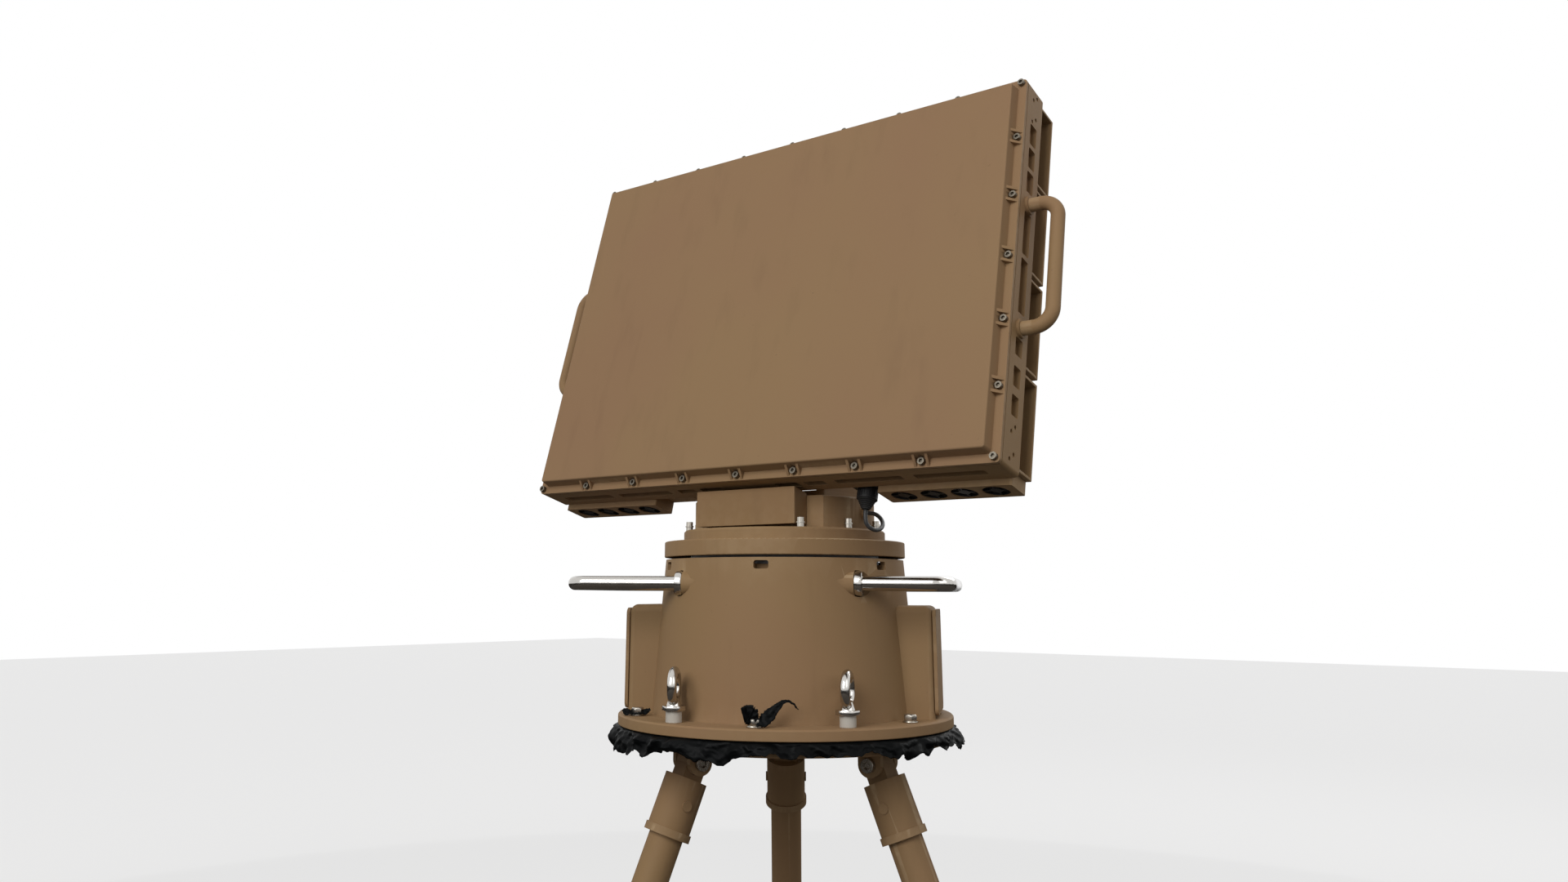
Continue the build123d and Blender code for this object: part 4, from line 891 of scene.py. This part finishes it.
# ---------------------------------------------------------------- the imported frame's own pieces
@dataclass
class PackedPieces:
    """The CAD nodes that stay, with rounded edges and real finishes. Edge radii are in mm."""

    shop: Workshop
    merge_distance: float = 0.01 * MM
    sharp_angle: float = 38.0
    normal_weight: int = 60
    edge_radius: dict[str, float] = field(
        default_factory=lambda: {
            "antenna_frame": 0.9,
            "radome": 0.5,
            "rear_modules_left": 0.8,
            "rear_modules_right": 0.8,
            "service_cover": 0.5,
            "turntable_plate": 0.5,
            "rim_cap": 0.4,
            "neck_housing": 0.5,
            "pedestal_housing": 0.6,
            "side_covers": 0.8,
            "base_flange": 0.5,
            "tripod_head": 1.2,
            "tilt_bracket": 1.2,
            "tilt_yoke": 1.2,
            "radome_screws": 0.5,
            "turntable_bolts": 0.4,
            "leg_1": 1.2,
            "leg_2": 1.2,
            "leg_3": 1.2,
            "leg_pins": 0.8,
            "leg_extension_1": 1.0,
            "leg_extension_2": 1.0,
            "leg_extension_3": 1.0,
            "rod_collars": 2.2,
            "eye_bolt_spacers": 0.6,
            "clamp_knobs": 1.2,
            "tilt_pin": 1.0,
            "cold_plate": 0.5,
            "fan_rails": 0.4,
            "fan_frames": 0.3,
        }
    )

    def build(self) -> None:
        """Dress every node and round the edges of those that are seen."""
        for entry in frame["record"]["subparts"]:
            node = frame["nodes"][entry["node"]]
            self.shop.wardrobe.dress(node, Slot(entry["material_slot"]))
            self.round_edges(node, self.edge_radius.get(node.name, 0.0))
        for name in OWN_FINISHES:
            self.shop.wardrobe.dress_own(frame["nodes"][name])

    def round_edges(self, node: bpy.types.Object, radius: float) -> None:
        """Merge a node's loose triangles and round its sharp edges, without changing its own mesh.

        Args:
            node: the CAD node.
            radius: the bevel's width in millimetres; 0 only merges.
        """
        weld = node.modifiers.new("merge", "WELD")
        weld.merge_threshold = self.merge_distance
        if radius > 0:
            bevel = node.modifiers.new("edges", "BEVEL")
            bevel.width = radius * MM
            bevel.segments = 2
            bevel.limit_method = "ANGLE"
            bevel.angle_limit = radians(self.sharp_angle)
            bevel.use_clamp_overlap = True
            bevel.harden_normals = False
        normals = node.modifiers.new("normals", "WEIGHTED_NORMAL")
        normals.keep_sharp = True
        normals.weight = self.normal_weight


# ---------------------------------------------------------------- lifting eyes
@dataclass
class LiftingEyes:
    """Forged eye bolts on the flange."""

    shop: Workshop
    ring_radius: float = 19.5 * MM
    wire_radius: float = 6.5 * MM
    circle_radius: float = 222.0 * MM
    foot_z: float = 50.6 * MM
    ring_rise: float = 31.5 * MM
    neck_foot_radius: float = 10.5 * MM
    neck_top_radius: float = 6.8 * MM
    neck_end: float = 15.0 * MM
    collar_radius: float = 16.0 * MM
    collar_height: float = 6.5 * MM
    collar_edge: float = 0.9 * MM
    hexagon_share: float = 1.06
    shank_radius: float = 6.0 * MM
    shank_drop: float = 29.0 * MM
    sunk: float = 1.0 * MM
    angles: tuple[float, ...] = (-97.0, -33.0, 83.0, 147.0)
    axis_turns: tuple[float, ...] = (38.0, -35.0, 21.0, 18.0)

    def build(self) -> None:
        """Forge one eye, copy it to its four places and hand the eyes over."""
        deselect()
        bpy.ops.mesh.primitive_torus_add(
            major_segments=72,
            minor_segments=28,
            major_radius=self.ring_radius,
            minor_radius=self.wire_radius,
            location=(0, 0, self.ring_rise),
            rotation=(radians(90), 0, 0),
        )
        eye = settle(last_made("eye_pattern"))
        neck = disc(
            "neck",
            self.neck_foot_radius,
            self.collar_height - self.sunk,
            self.ring_rise - self.neck_end,
            top=self.neck_top_radius,
        )
        eye = fuse(eye, neck)
        collar = disc("collar", self.collar_radius, 0, self.collar_height)
        hexagon_radius = self.collar_radius * self.hexagon_share
        hexagon = disc("hexagon", hexagon_radius, -self.sunk, self.collar_height + self.sunk, 6)
        collar = fuse(collar, hexagon, Fusing.COMMON)
        soften(collar, self.collar_edge, 2, 30)
        eye = fuse(eye, collar)
        shank = disc("shank", self.shank_radius, -self.shank_drop, self.sunk, 40)
        eye = fuse(eye, shank)
        smooth_below(eye, 38)
        places = [
            place(polar(self.circle_radius, angle, self.foot_z), angle + turn)
            for angle, turn in zip(self.angles, self.axis_turns)
        ]
        eyes = copy_to(eye, places, "lifting_eyes")
        self.shop.hand_over(eyes, "base", Slot.STAINLESS, "eye_bolts")


# ---------------------------------------------------------------- hex bolts of the flange
@dataclass
class FlangeBolts:
    """Six hex bolts with washers."""

    shop: Workshop
    circle_radius: float = 222.0 * MM
    seat_z: float = 35.6 * MM
    washer_radius: float = 10.5 * MM
    washer_thick: float = 2.5 * MM
    head_half_width: float = 8.0 * MM
    head_height: float = 8.5 * MM
    head_edge: float = 0.25 * MM
    crown_flare: float = 5.2 * MM
    crown_inset: float = 0.6 * MM
    bearing_face_share: float = 0.97
    washer_edge: float = 0.5 * MM
    shank_radius: float = 6.0 * MM
    shank_length: float = 31.6 * MM
    first_angle: float = -65.0
    first_turn: float = 17.0
    turn_step: float = 23.0
    count: int = 6

    def build(self) -> None:
        """Make one bolt, copy it round the flange and hand the bolts over."""
        seat = self.washer_thick
        top = seat + self.head_height
        corner = self.head_half_width / cos(pi / 6)
        bolt = disc("bolt_pattern", corner, seat - 0.01 * MM, top, 6)
        crown_top = self.head_half_width - self.crown_inset
        crown = disc(
            "crown", corner + self.crown_flare, seat - 1 * MM, top + 0.01 * MM, 64, crown_top
        )
        bolt = fuse(bolt, crown, Fusing.COMMON)
        face_radius = self.head_half_width * self.bearing_face_share
        face = disc("bearing_face", face_radius, seat - 0.4 * MM, seat + 1 * MM)
        bolt = fuse(bolt, face)
        soften(bolt, self.head_edge, 2, 25)
        washer = disc("washer", self.washer_radius, 0, seat - 0.3 * MM, 56)
        soften(washer, self.washer_edge, 2, 40)
        bolt = fuse(bolt, washer)
        shank = disc("shank", self.shank_radius, -self.shank_length, 0.5 * MM, 40)
        bolt = fuse(bolt, shank)
        smooth_below(bolt, 32)
        places = []
        for index in range(self.count):
            angle = self.first_angle + index * (360.0 / self.count)
            spot = polar(self.circle_radius, angle, self.seat_z)
            places.append(place(spot, self.first_turn + self.turn_step * index))
        bolts = copy_to(bolt, places, "flange_hex_bolts")
        self.shop.hand_over(bolts, "base", Slot.BRIGHT_ZINC, "flange_bolts")


# ---------------------------------------------------------------- film under the flange
@dataclass
class TrappedFilm:
    """Thin black film trapped between flange and tripod, torn and crumpled round its edge."""

    shop: Workshop
    inner_radius: float = 36.0 * MM
    seat_radius: float = 237.0 * MM
    level: float = 20.3 * MM
    thickness: float = 0.25 * MM
    turns: int = 540
    flat_rings: int = 6
    hanging_rings: int = 22
    lowest: float = -10.0 * MM
    widest: float = 269.0 * MM
    least_hang: float = 0.018
    mean_hang: float = 0.035
    hang_pitch: float = 2.2
    hang_waves: tuple[tuple[float, tuple[float, float, float], float], ...] = (
        (1.0, (3.1, 0.4, 7.7), 0.014),
        (4.7, (0.6, 5.2, 1.3), 0.012),
        (15.0, (9.4, 2.2, 0.1), 0.0045),
        (42.0, (1.9, 8.2, 4.4), 0.001),
    )
    least_bend: float = 0.009
    bend_spread: float = 0.012
    loose_after: float = 0.016
    fold_depth: float = 0.008
    crease_depth: float = 0.0045
    crackle_depth: float = 0.0012
    lift_height: float = 0.0022

    def wave(self, way: Vector, pitch: float, start: tuple[float, float, float]) -> float:
        """Smooth noise at a point that is scaled by a pitch and shifted by a start."""
        return noise.noise(way * pitch + Vector(start))

    def hang(self, angle: float) -> float:
        """How far the film hangs past the tripod head at an angle.

        Args:
            angle: the angle round the axis, in radians.

        Returns:
            The length along the film, in metres.
        """
        way = Vector((cos(angle), sin(angle), 0)) * self.hang_pitch
        length = self.mean_hang
        for pitch, start, depth in self.hang_waves:
            length += depth * self.wave(way, pitch, start)
        return max(self.least_hang, length)

    def point(self, angle: float, share: float) -> Vector:
        """A point of the hanging part.

        Args:
            angle: the angle round the axis, in radians.
            share: 0 at the head's rim and 1 at the torn edge.

        Returns:
            The point.
        """
        length = self.hang(angle) * share
        way = Vector((cos(angle), sin(angle), 0))
        stiff = self.least_bend + self.bend_spread * (0.5 + self.wave(way, 3.4, (6.6, 1.1, 2.0)))
        out = stiff * (1 - exp(-length / stiff))
        down = max(0.0, length - out)
        folds = self.fold_depth * self.wave(way, 9.0, (0, 0, 34.0 * length))
        creases = self.crease_depth * self.wave(way, 24.0, (4.0, 0, 90.0 * length))
        crackle = self.crackle_depth * self.wave(way, 60.0, (0, 3.0, 220.0 * length))
        loose = min(1.0, length / self.loose_after)
        ripple = max(loose * (folds + creases + crackle), -0.35 * out - 0.0006 * loose)
        radius = min(self.widest, self.seat_radius + 0.0005 + out * 1.05 + ripple)
        lift = loose * self.lift_height * self.wave(way, 21.0, (8.0, 2.0, 40.0 * length))
        z = max(self.lowest, self.level - down + (lift if down > 0.003 else 0.0))
        return Vector((radius * way.x, radius * way.y, z))

    def build(self) -> None:
        points: list[Vector] = []
        rows = self.flat_rings + self.hanging_rings
        angles = [2 * pi * step / self.turns for step in range(self.turns)]
        for row in range(rows + 1):
            for angle in angles:
                if row < self.flat_rings:
                    reach = row / self.flat_rings
                    radius = self.inner_radius + (self.seat_radius - self.inner_radius) * reach
                    points.append(Vector((radius * cos(angle), radius * sin(angle), self.level)))
                else:
                    points.append(self.point(angle, (row - self.flat_rings) / self.hanging_rings))
        faces = []
        for row in range(rows):
            for step in range(self.turns):
                ahead = (step + 1) % self.turns
                start, above = row * self.turns, (row + 1) * self.turns
                faces.append((start + step, start + ahead, above + ahead, above + step))
        film = mesh_object("trapped_film", points, faces)
        thick = film.modifiers.new("thickness", "SOLIDIFY")
        thick.thickness = self.thickness
        thick.offset = 0.0
        apply_all(film)
        slices = (pi / self.turns * (self.seat_radius + self.hang(angle)) ** 2 for angle in angles)
        area = sum(slices) - pi * self.inner_radius**2
        self.shop.hand_over(film, "base", Slot.BLACK_FILM, "film_sheet")
        log.info("film area %.4f m2", area)


@dataclass
class FilmScraps:
    """Torn scraps of the same film, pinched under two of the flange's bolts."""

    shop: Workshop
    circle_radius: float = 222.0 * MM
    seat_z: float = 38.6 * MM
    thickness: float = 0.3 * MM
    front_bolt: float = -65.0
    left_bolt: float = -125.0
    front_turn: float = 37.0
    left_turn: float = 29.0
    rows_between: int = 9
    across: int = 8
    tear_depth: float = 0.25
    crumple: float = 1.5
    fine_crumple: float = 0.7

    def ribbon(
        self,
        name: str,
        centres: list[tuple[float, float, float]],
        widths: list[float],
        twist: list[float],
        origin: Vector,
        turn: float,
    ) -> bpy.types.Object:
        """Make a crumpled ribbon.

        Args:
            name: the scrap's name.
            centres: the ribbon's middle line in millimetres: along, outwards and up from the bolt.
            widths: its width at each centre, in millimetres.
            twist: how far each cross line is turned up from the flange, in degrees.
            origin: the bolt's seat.
            turn: the direction of "along", in degrees.

        Returns:
            The ribbon.
        """
        across = self.across
        rows: list[tuple[Vector, float, float]] = []
        last = len(centres) - 1
        for index in range(last * self.rows_between + 1):
            at = index / self.rows_between
            low = min(int(at), last - 1)
            share = at - low
            ease = share * share * (3 - 2 * share)
            reach = share if 0 < low < last - 1 else ease * 0.3 + share * 0.7
            rows.append(
                (
                    Vector(centres[low]).lerp(Vector(centres[low + 1]), reach),
                    widths[low] + (widths[low + 1] - widths[low]) * ease,
                    twist[low] + (twist[low + 1] - twist[low]) * ease,
                )
            )
        points: list[Vector] = []
        for index, (centre, width, lean) in enumerate(rows):
            ahead = rows[min(index + 1, len(rows) - 1)][0]
            behind = rows[max(index - 1, 0)][0]
            along = (ahead - behind).normalized()
            flat = along.cross(Vector((0, 0, 1)))
            flat = flat.normalized() if flat.length > 1e-4 else Vector((0, 1, 0))
            side = Matrix.Rotation(radians(lean), 3, along) @ flat
            lift = along.cross(side)
            for step in range(across + 1):
                share = step / across - 0.5
                seed = Vector((index * 0.23, step * 0.45, len(name)))
                edge = Vector((index * 0.5, 7.0 if share > 0 else 1.0, 2.0))
                tear = 1.0 + self.tear_depth * noise.noise(edge)
                crumple = self.crumple * noise.noise(seed)
                crumple += self.fine_crumple * noise.noise(seed * 2.7)
                spot = centre + side * (share * width * tear) + lift * crumple
                points.append(spot * MM)
        faces = []
        for index in range(len(rows) - 1):
            for step in range(across):
                start = index * (across + 1) + step
                faces.append((start, start + 1, start + across + 2, start + across + 1))
        piece = mesh_object(name, points, faces)
        piece.data.transform(place(origin, turn))
        thick = piece.modifiers.new("thickness", "SOLIDIFY")
        thick.thickness = self.thickness
        thick.offset = 0.0
        return apply_all(piece)

    def declare(self, piece: bpy.types.Object) -> None:
        """Args:
            piece: the scrap.
        """
        self.shop.hand_over(piece, "base", Slot.BLACK_FILM)

    def build(self) -> None:
        """Make the front bolt's standing flap and curled strip, and the left bolt's bow."""
        front = polar(self.circle_radius, self.front_bolt, self.seat_z)
        left = polar(self.circle_radius, self.left_bolt, self.seat_z)
        flap = self.ribbon(
            "film_flap_front",
            [(3, -9, 6), (-2, -8, 11), (-7, -7, 13.5), (-11, -6, 13), (-15, -5, 12)],
            [9, 21, 25, 23, 19],
            [78, 84, 86, 84, 80],
            front,
            self.front_turn,
        )
        strip = self.ribbon(
            "film_strip_front",
            [
                (2, -8, 1),
                (11, -7, 5),
                (20, -5, 13),
                (29, -3, 22),
                (37, -2, 29),
                (45, -1, 30),
                (52, 0, 26),
                (57, 1, 19),
            ],
            [13, 17, 16, 10, 6, 4.5, 4, 2.5],
            [14, 55, 72, 70, 60, 40, 30, 20],
            front,
            self.front_turn,
        )
        bow = self.ribbon(
            "film_bow_left",
            [(-21, -3, 5), (-14, -5, 1.5), (-6, -8, 1.2), (3, -9, 1.4), (11, -7, 2), (19, -4, 6)],
            [5, 12, 12, 11, 12, 4],
            [60, 40, 14, 10, 32, 66],
            left,
            self.left_turn,
        )
        for piece in (flap, strip, bow):
            self.declare(piece)


# ---------------------------------------------------------------- panel connector and cable
@dataclass
class PanelLead:
    """The connector with its rubber boot under the panel, and the cable to the turning head.

    The cable's slack and the boot's profile are in millimetres, and the rest is in metres.
    """

    shop: Workshop
    mouth: tuple[float, float, float] = (175.0 * MM, -47.972 * MM, 320.383 * MM)
    lean: float = 15.0
    length: float = 35.0 * MM
    plate_corner: float = 31.0 * MM
    plate_thick: float = 4.0 * MM
    plate_edge: float = 1.6 * MM
    ring_radius: float = 15.0 * MM
    tooth_count: int = 24
    tooth_level: float = 22.0 * MM
    tooth_size: tuple[float, float, float] = (1.6 * MM, 1.5 * MM, 9 * MM)
    screw_radius: float = 2.6 * MM
    screw_height: float = 2.3 * MM
    screw_spacing: float = 16.5 * MM
    sunk: float = 0.1 * MM
    boot_sides: int = 48
    boot_ribs: int = 5
    rib_pitch: float = 2.6
    cable_radius: float = 3.0 * MM
    gland: tuple[float, float, float] = (136.634 * MM, 10.0 * MM, 320.6 * MM)
    slack: tuple[tuple[float, float, float], ...] = (
        (168, 5, 312),
        (179, -7, 302),
        (183.5, -22, 294),
        (181.5, -39, 291.5),
    )
    tube_sides: int = 20

    def axis(self) -> Vector:
        """The direction in which the connector points, down and slightly forward."""
        return Vector((0, -sin(radians(self.lean)), -cos(radians(self.lean))))

    def seat(self) -> Matrix:
        """Where the connector stands.

        Returns:
            The matrix that turns its own Z axis against the cable's way out of it.
        """
        up = -self.axis()
        side = Vector((1, 0, 0))
        forward = up.cross(side)
        turn = Matrix((side, forward, up)).transposed().to_4x4()
        return Matrix.Translation(Vector(self.mouth)) @ turn

    def route(self) -> list[Vector]:
        """The points that control the cable's route.

        Returns:
            Points from the neck's gland to the end of the boot.
        """
        mouth = Vector(self.mouth)
        gland = Vector(self.gland)
        return [
            gland,
            gland + Vector((16 * MM, 0, 0)),
            *(Vector(spot) * MM for spot in self.slack),
            mouth + self.axis() * 19 * MM,
            mouth,
        ]

    def centreline(self) -> list[Vector]:
        """Follow the smooth line that the route's points control.

        Returns:
            Points along the line.
        """
        curve = bpy.data.curves.new("lead_route", "CURVE")
        curve.dimensions = "3D"
        curve.resolution_u = 12
        spline = curve.splines.new("NURBS")
        route = self.route()
        spline.points.add(len(route) - 1)
        for point, spot in zip(spline.points, route):
            point.co = (*spot, 1)
        spline.order_u = 3
        spline.use_endpoint_u = True
        bare = bpy.data.objects.new("lead_route", curve)
        bpy.context.scene.collection.objects.link(bare)
        line = [v.co.copy() for v in bpy.data.meshes.new_from_object(bare).vertices]
        bpy.data.objects.remove(bare)
        return line

    def tube(self, line: list[Vector]) -> bpy.types.Object:
        """Sweep a round section along a line, with closed ends.

        Args:
            line: points along the cable's middle.

        Returns:
            The cable.
        """
        points: list[Vector] = []
        normal = Vector((0, 1, 0))
        for index, spot in enumerate(line):
            ahead, behind = line[min(index + 1, len(line) - 1)], line[max(index - 1, 0)]
            along = (ahead - behind).normalized()
            normal = (normal - along * normal.dot(along)).normalized()
            side = along.cross(normal)
            for step in range(self.tube_sides):
                turn = 2 * pi * step / self.tube_sides
                spoke = normal * cos(turn) + side * sin(turn)
                points.append(spot + spoke * self.cable_radius)
        faces: list[tuple[int, ...]] = []
        for index in range(len(line) - 1):
            for step in range(self.tube_sides):
                ahead = (step + 1) % self.tube_sides
                start, above = index * self.tube_sides, (index + 1) * self.tube_sides
                faces.append((start + step, start + ahead, above + ahead, above + step))
        faces.append(tuple(range(self.tube_sides)))
        faces.append(tuple(range(len(points) - self.tube_sides, len(points))))
        return mesh_object("panel_lead", points, faces)

    def build_cable(self) -> None:
        line = self.centreline()
        lead = self.tube(line)
        self.shop.wardrobe.dress(lead, Slot.CABLE_JACKET)
        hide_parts("panel_cable")
        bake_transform(lead)

    def build_shell(self) -> None:
        """Make the connector's plate with its four screws and its knurled ring."""
        seat_level = self.length - self.plate_thick
        plate = disc("connector_plate", self.plate_corner, seat_level, self.length, 4)
        plate.rotation_euler = (0, 0, radians(45))
        settle(plate)
        soften(plate, self.plate_edge, 3, 30)
        ring = disc("ring", self.ring_radius, 15 * MM, seat_level + self.sunk)
        plate = fuse(plate, ring)
        for index in range(self.tooth_count):
            angle = 360.0 / self.tooth_count * index
            deselect()
            bpy.ops.mesh.primitive_cube_add(
                size=1,
                location=polar(self.ring_radius, angle, self.tooth_level),
                rotation=(0, 0, radians(angle)),
            )
            tooth = last_made("tooth")
            tooth.scale = self.tooth_size
            plate = fuse(plate, settle(tooth), Fusing.CUT)
        for x in (-self.screw_spacing, self.screw_spacing):
            for y in (-self.screw_spacing, self.screw_spacing):
                top = seat_level + self.sunk
                head = disc("head", self.screw_radius, top - self.screw_height, top, 20)
                head.location = (x, y, 0)
                plate = fuse(plate, settle(head))
        smooth_below(plate, 35)
        plate.data.transform(self.seat())
        plate.name = "connector_shell"
        self.shop.hand_over(plate, "panel", Slot.BLACK_PLASTIC, "panel_connector")

    def boot_profile(self) -> list[tuple[float, float]]:
        """The boot's closed half section.

        Returns:
            Radius and level of each point, in millimetres.
        """
        profile = [(3.1, 0.0), (5.4, 0.0), (6.2, 1.2)]
        for rib in range(self.boot_ribs):
            low = 1.6 + self.rib_pitch * rib
            wide = 7.0 + 1.35 * rib
            profile += [
                (wide - 1.0, low + 0.5),
                (wide + 0.9, low + 1.1),
                (wide + 0.9, low + 1.9),
                (wide - 0.6, low + 2.5),
            ]
        return profile + [(14.2, 14.6), (14.2, 15.4), (3.1, 15.4)]

    def build_boot(self) -> None:
        """Spin the ribbed boot and push it over the connector."""
        profile = self.boot_profile()
        sides, rows = self.boot_sides, len(profile)
        angles = [2 * pi * step / sides for step in range(sides)]
        points = [
            Vector((radius * cos(angle), radius * sin(angle), z)) * MM
            for radius, z in profile
            for angle in angles
        ]
        faces: list[tuple[int, ...]] = []
        for row in range(rows):
            low, high = row * sides, (row + 1) % rows * sides
            for step in range(sides):
                ahead = (step + 1) % sides
                faces.append((low + step, low + ahead, high + ahead, high + step))
        boot = mesh_object("connector_boot", points, faces)
        smooth = boot.modifiers.new("round", "SUBSURF")
        smooth.levels = smooth.render_levels = 1
        apply_all(boot)
        boot.data.transform(self.seat())
        self.shop.hand_over(boot, "panel", Slot.BLACK_RUBBER)

    def build(self) -> None:
        """Make the connector and the cable."""
        self.build_shell()
        self.build_boot()
        self.build_cable()


# ---------------------------------------------------------------- studio
@dataclass(frozen=True)
class Lamp:
    """A square soft lamp that faces a point, with its side in metres and its power in watts."""

    name: str
    spot: tuple[float, float, float]
    aim: tuple[float, float, float]
    size: float
    power: float

    def hang(self) -> None:
        """Hang the lamp."""
        data = bpy.data.lights.new(self.name, "AREA")
        data.size = self.size
        data.energy = self.power
        light = bpy.data.objects.new(self.name, data)
        bpy.context.scene.collection.objects.link(light)
        light.location = self.spot
        way = Vector(self.aim) - Vector(self.spot)
        light.rotation_euler = way.to_track_quat("-Z", "Y").to_euler()


LAMPS = (
    Lamp("key", (0.3, -3.8, 2.3), (0, 0, 0.4), 2.6, 117.0),
    Lamp("fill", (3.4, -0.6, 2.2), (0, 0, 0.5), 2.5, 24.0),
    Lamp("back", (0.5, 3.5, 2.8), (0, 0, 0.5), 2.5, 40.0),
)


@dataclass
class Studio:
    """Camera, lamps, floor and a pale surround."""

    camera_place: tuple[float, float, float] = (1.0396, -1.4650, 0.2023)
    heading: float = 37.54
    pitch: float = 13.15
    roll: float = 0.25
    lens: float = 26.6
    shift: tuple[float, float] = (0.0278, -0.0743)
    floor_size: float = 30.0
    floor_gap: float = 0.0005
    floor_colour: tuple[float, float, float] = (0.17, 0.167, 0.164)
    floor_glow: float = 0.68
    ambient: float = 0.3
    flag_radius: float = 2.6
    flag_foot: float = 0.02
    flag_top: float = 0.1
    flag_colour: tuple[float, float, float] = (0.075, 0.064, 0.054)

    def build(self) -> None:
        """Set everything up."""
        self.build_camera()
        self.build_floor()
        self.build_flags()
        self.build_world()
        for lamp in LAMPS:
            lamp.hang()
        bpy.context.scene.view_settings.view_transform = "Standard"
        log.info("studio is ready")

    def build_camera(self) -> None:
        """Set the camera at its place, heading, pitch and roll."""
        data = bpy.data.cameras.new("camera")
        data.sensor_width = 36.0
        data.lens = self.lens
        data.shift_x, data.shift_y = self.shift
        data.clip_start = 0.01
        data.clip_end = 100.0
        camera = bpy.data.objects.new("camera", data)
        bpy.context.scene.collection.objects.link(camera)
        look = Euler((radians(90 + self.pitch), 0, radians(self.heading))).to_matrix().to_4x4()
        stand = Matrix.Translation(self.camera_place) @ look
        camera.matrix_world = stand @ Matrix.Rotation(radians(self.roll), 4, "Z")
        bpy.context.scene.camera = camera

    def seen_ray(self, sheet: NodeSheet) -> bpy.types.NodeSocket:
        """Tell the rays that show the background itself: straight, in gloss and through glass.

        Args:
            sheet: the node sheet of the floor's material or the world.

        Returns:
            A value of 1 for such rays and 0 for others.
        """
        rays = sheet.add("ShaderNodeLightPath")
        either = sheet.math("MAXIMUM", rays.outputs["Is Camera Ray"], rays.outputs["Is Glossy Ray"])
        return sheet.math("MAXIMUM", either, rays.outputs["Is Transmission Ray"])

    def build_floor(self) -> None:
        """Lay a wide pale floor under the feet."""
        deselect()
        level = cad_low.z - self.floor_gap
        bpy.ops.mesh.primitive_plane_add(size=self.floor_size, location=(0, 0, level))
        floor = last_made("floor")
        material = bpy.data.materials.new("pale_floor")
        material.use_nodes = True
        sheet = NodeSheet(material.node_tree)
        shader = material.node_tree.nodes["Principled BSDF"]
        shader.inputs["Base Color"].default_value = (*self.floor_colour, 1)
        shader.inputs["Roughness"].default_value = 0.9
        shader.inputs["Emission Color"].default_value = (1, 1, 1, 1)
        glow = sheet.math("MULTIPLY", self.seen_ray(sheet), self.floor_glow)
        sheet.join(glow, shader.inputs["Emission Strength"])
        floor.data.materials.append(material)

    def build_flags(self) -> None:
        """Stand a low ring of dark flags around, which only polished metal shows."""
        flags = disc("dark_flags", self.flag_radius, cad_low.z + self.flag_foot, self.flag_top, 96)
        pick(flags)
        bpy.ops.object.mode_set(mode="EDIT")
        bpy.ops.mesh.select_mode(type="FACE")
        bpy.ops.mesh.select_all(action="DESELECT")
        bpy.ops.object.mode_set(mode="OBJECT")
        for face in flags.data.polygons:
            face.select = face.normal.z > 0.9
        bpy.ops.object.mode_set(mode="EDIT")
        bpy.ops.mesh.delete(type="FACE")
        bpy.ops.mesh.select_all(action="SELECT")
        bpy.ops.mesh.flip_normals()
        bpy.ops.object.mode_set(mode="OBJECT")
        material = bpy.data.materials.new("dark_flag_cloth")
        material.use_nodes = True
        shader = material.node_tree.nodes["Principled BSDF"]
        shader.inputs["Base Color"].default_value = (*self.flag_colour, 1)
        shader.inputs["Roughness"].default_value = 1.0
        flags.data.materials.append(material)
        flags.visible_camera = False
        flags.visible_diffuse = False
        flags.visible_transmission = False
        flags.visible_shadow = False

    def build_world(self) -> None:
        """Surround everything with soft pale light."""
        world = bpy.data.worlds.new("surround")
        bpy.context.scene.world = world
        world.use_nodes = True
        sheet = NodeSheet(world.node_tree)
        back = world.node_tree.nodes["Background"]
        back.inputs["Color"].default_value = (1, 1, 1, 1)
        seen = self.seen_ray(sheet)
        strength = sheet.math("MULTIPLY_ADD", seen, 1.0 - self.ambient)
        strength.node.inputs[2].default_value = self.ambient
        sheet.join(strength, back.inputs["Strength"])


def main() -> None:
    """Build the studio and every sub-assembly."""
    Studio().build()
    shop = Workshop(Wardrobe())
    PackedPieces(shop).build()
    for part in (PanelLead, LiftingEyes, FlangeBolts, TrappedFilm, FilmScraps):
        part(shop).build()
    log.info("made %d new pieces", shop.count)


if __name__ == "__main__":
    main()
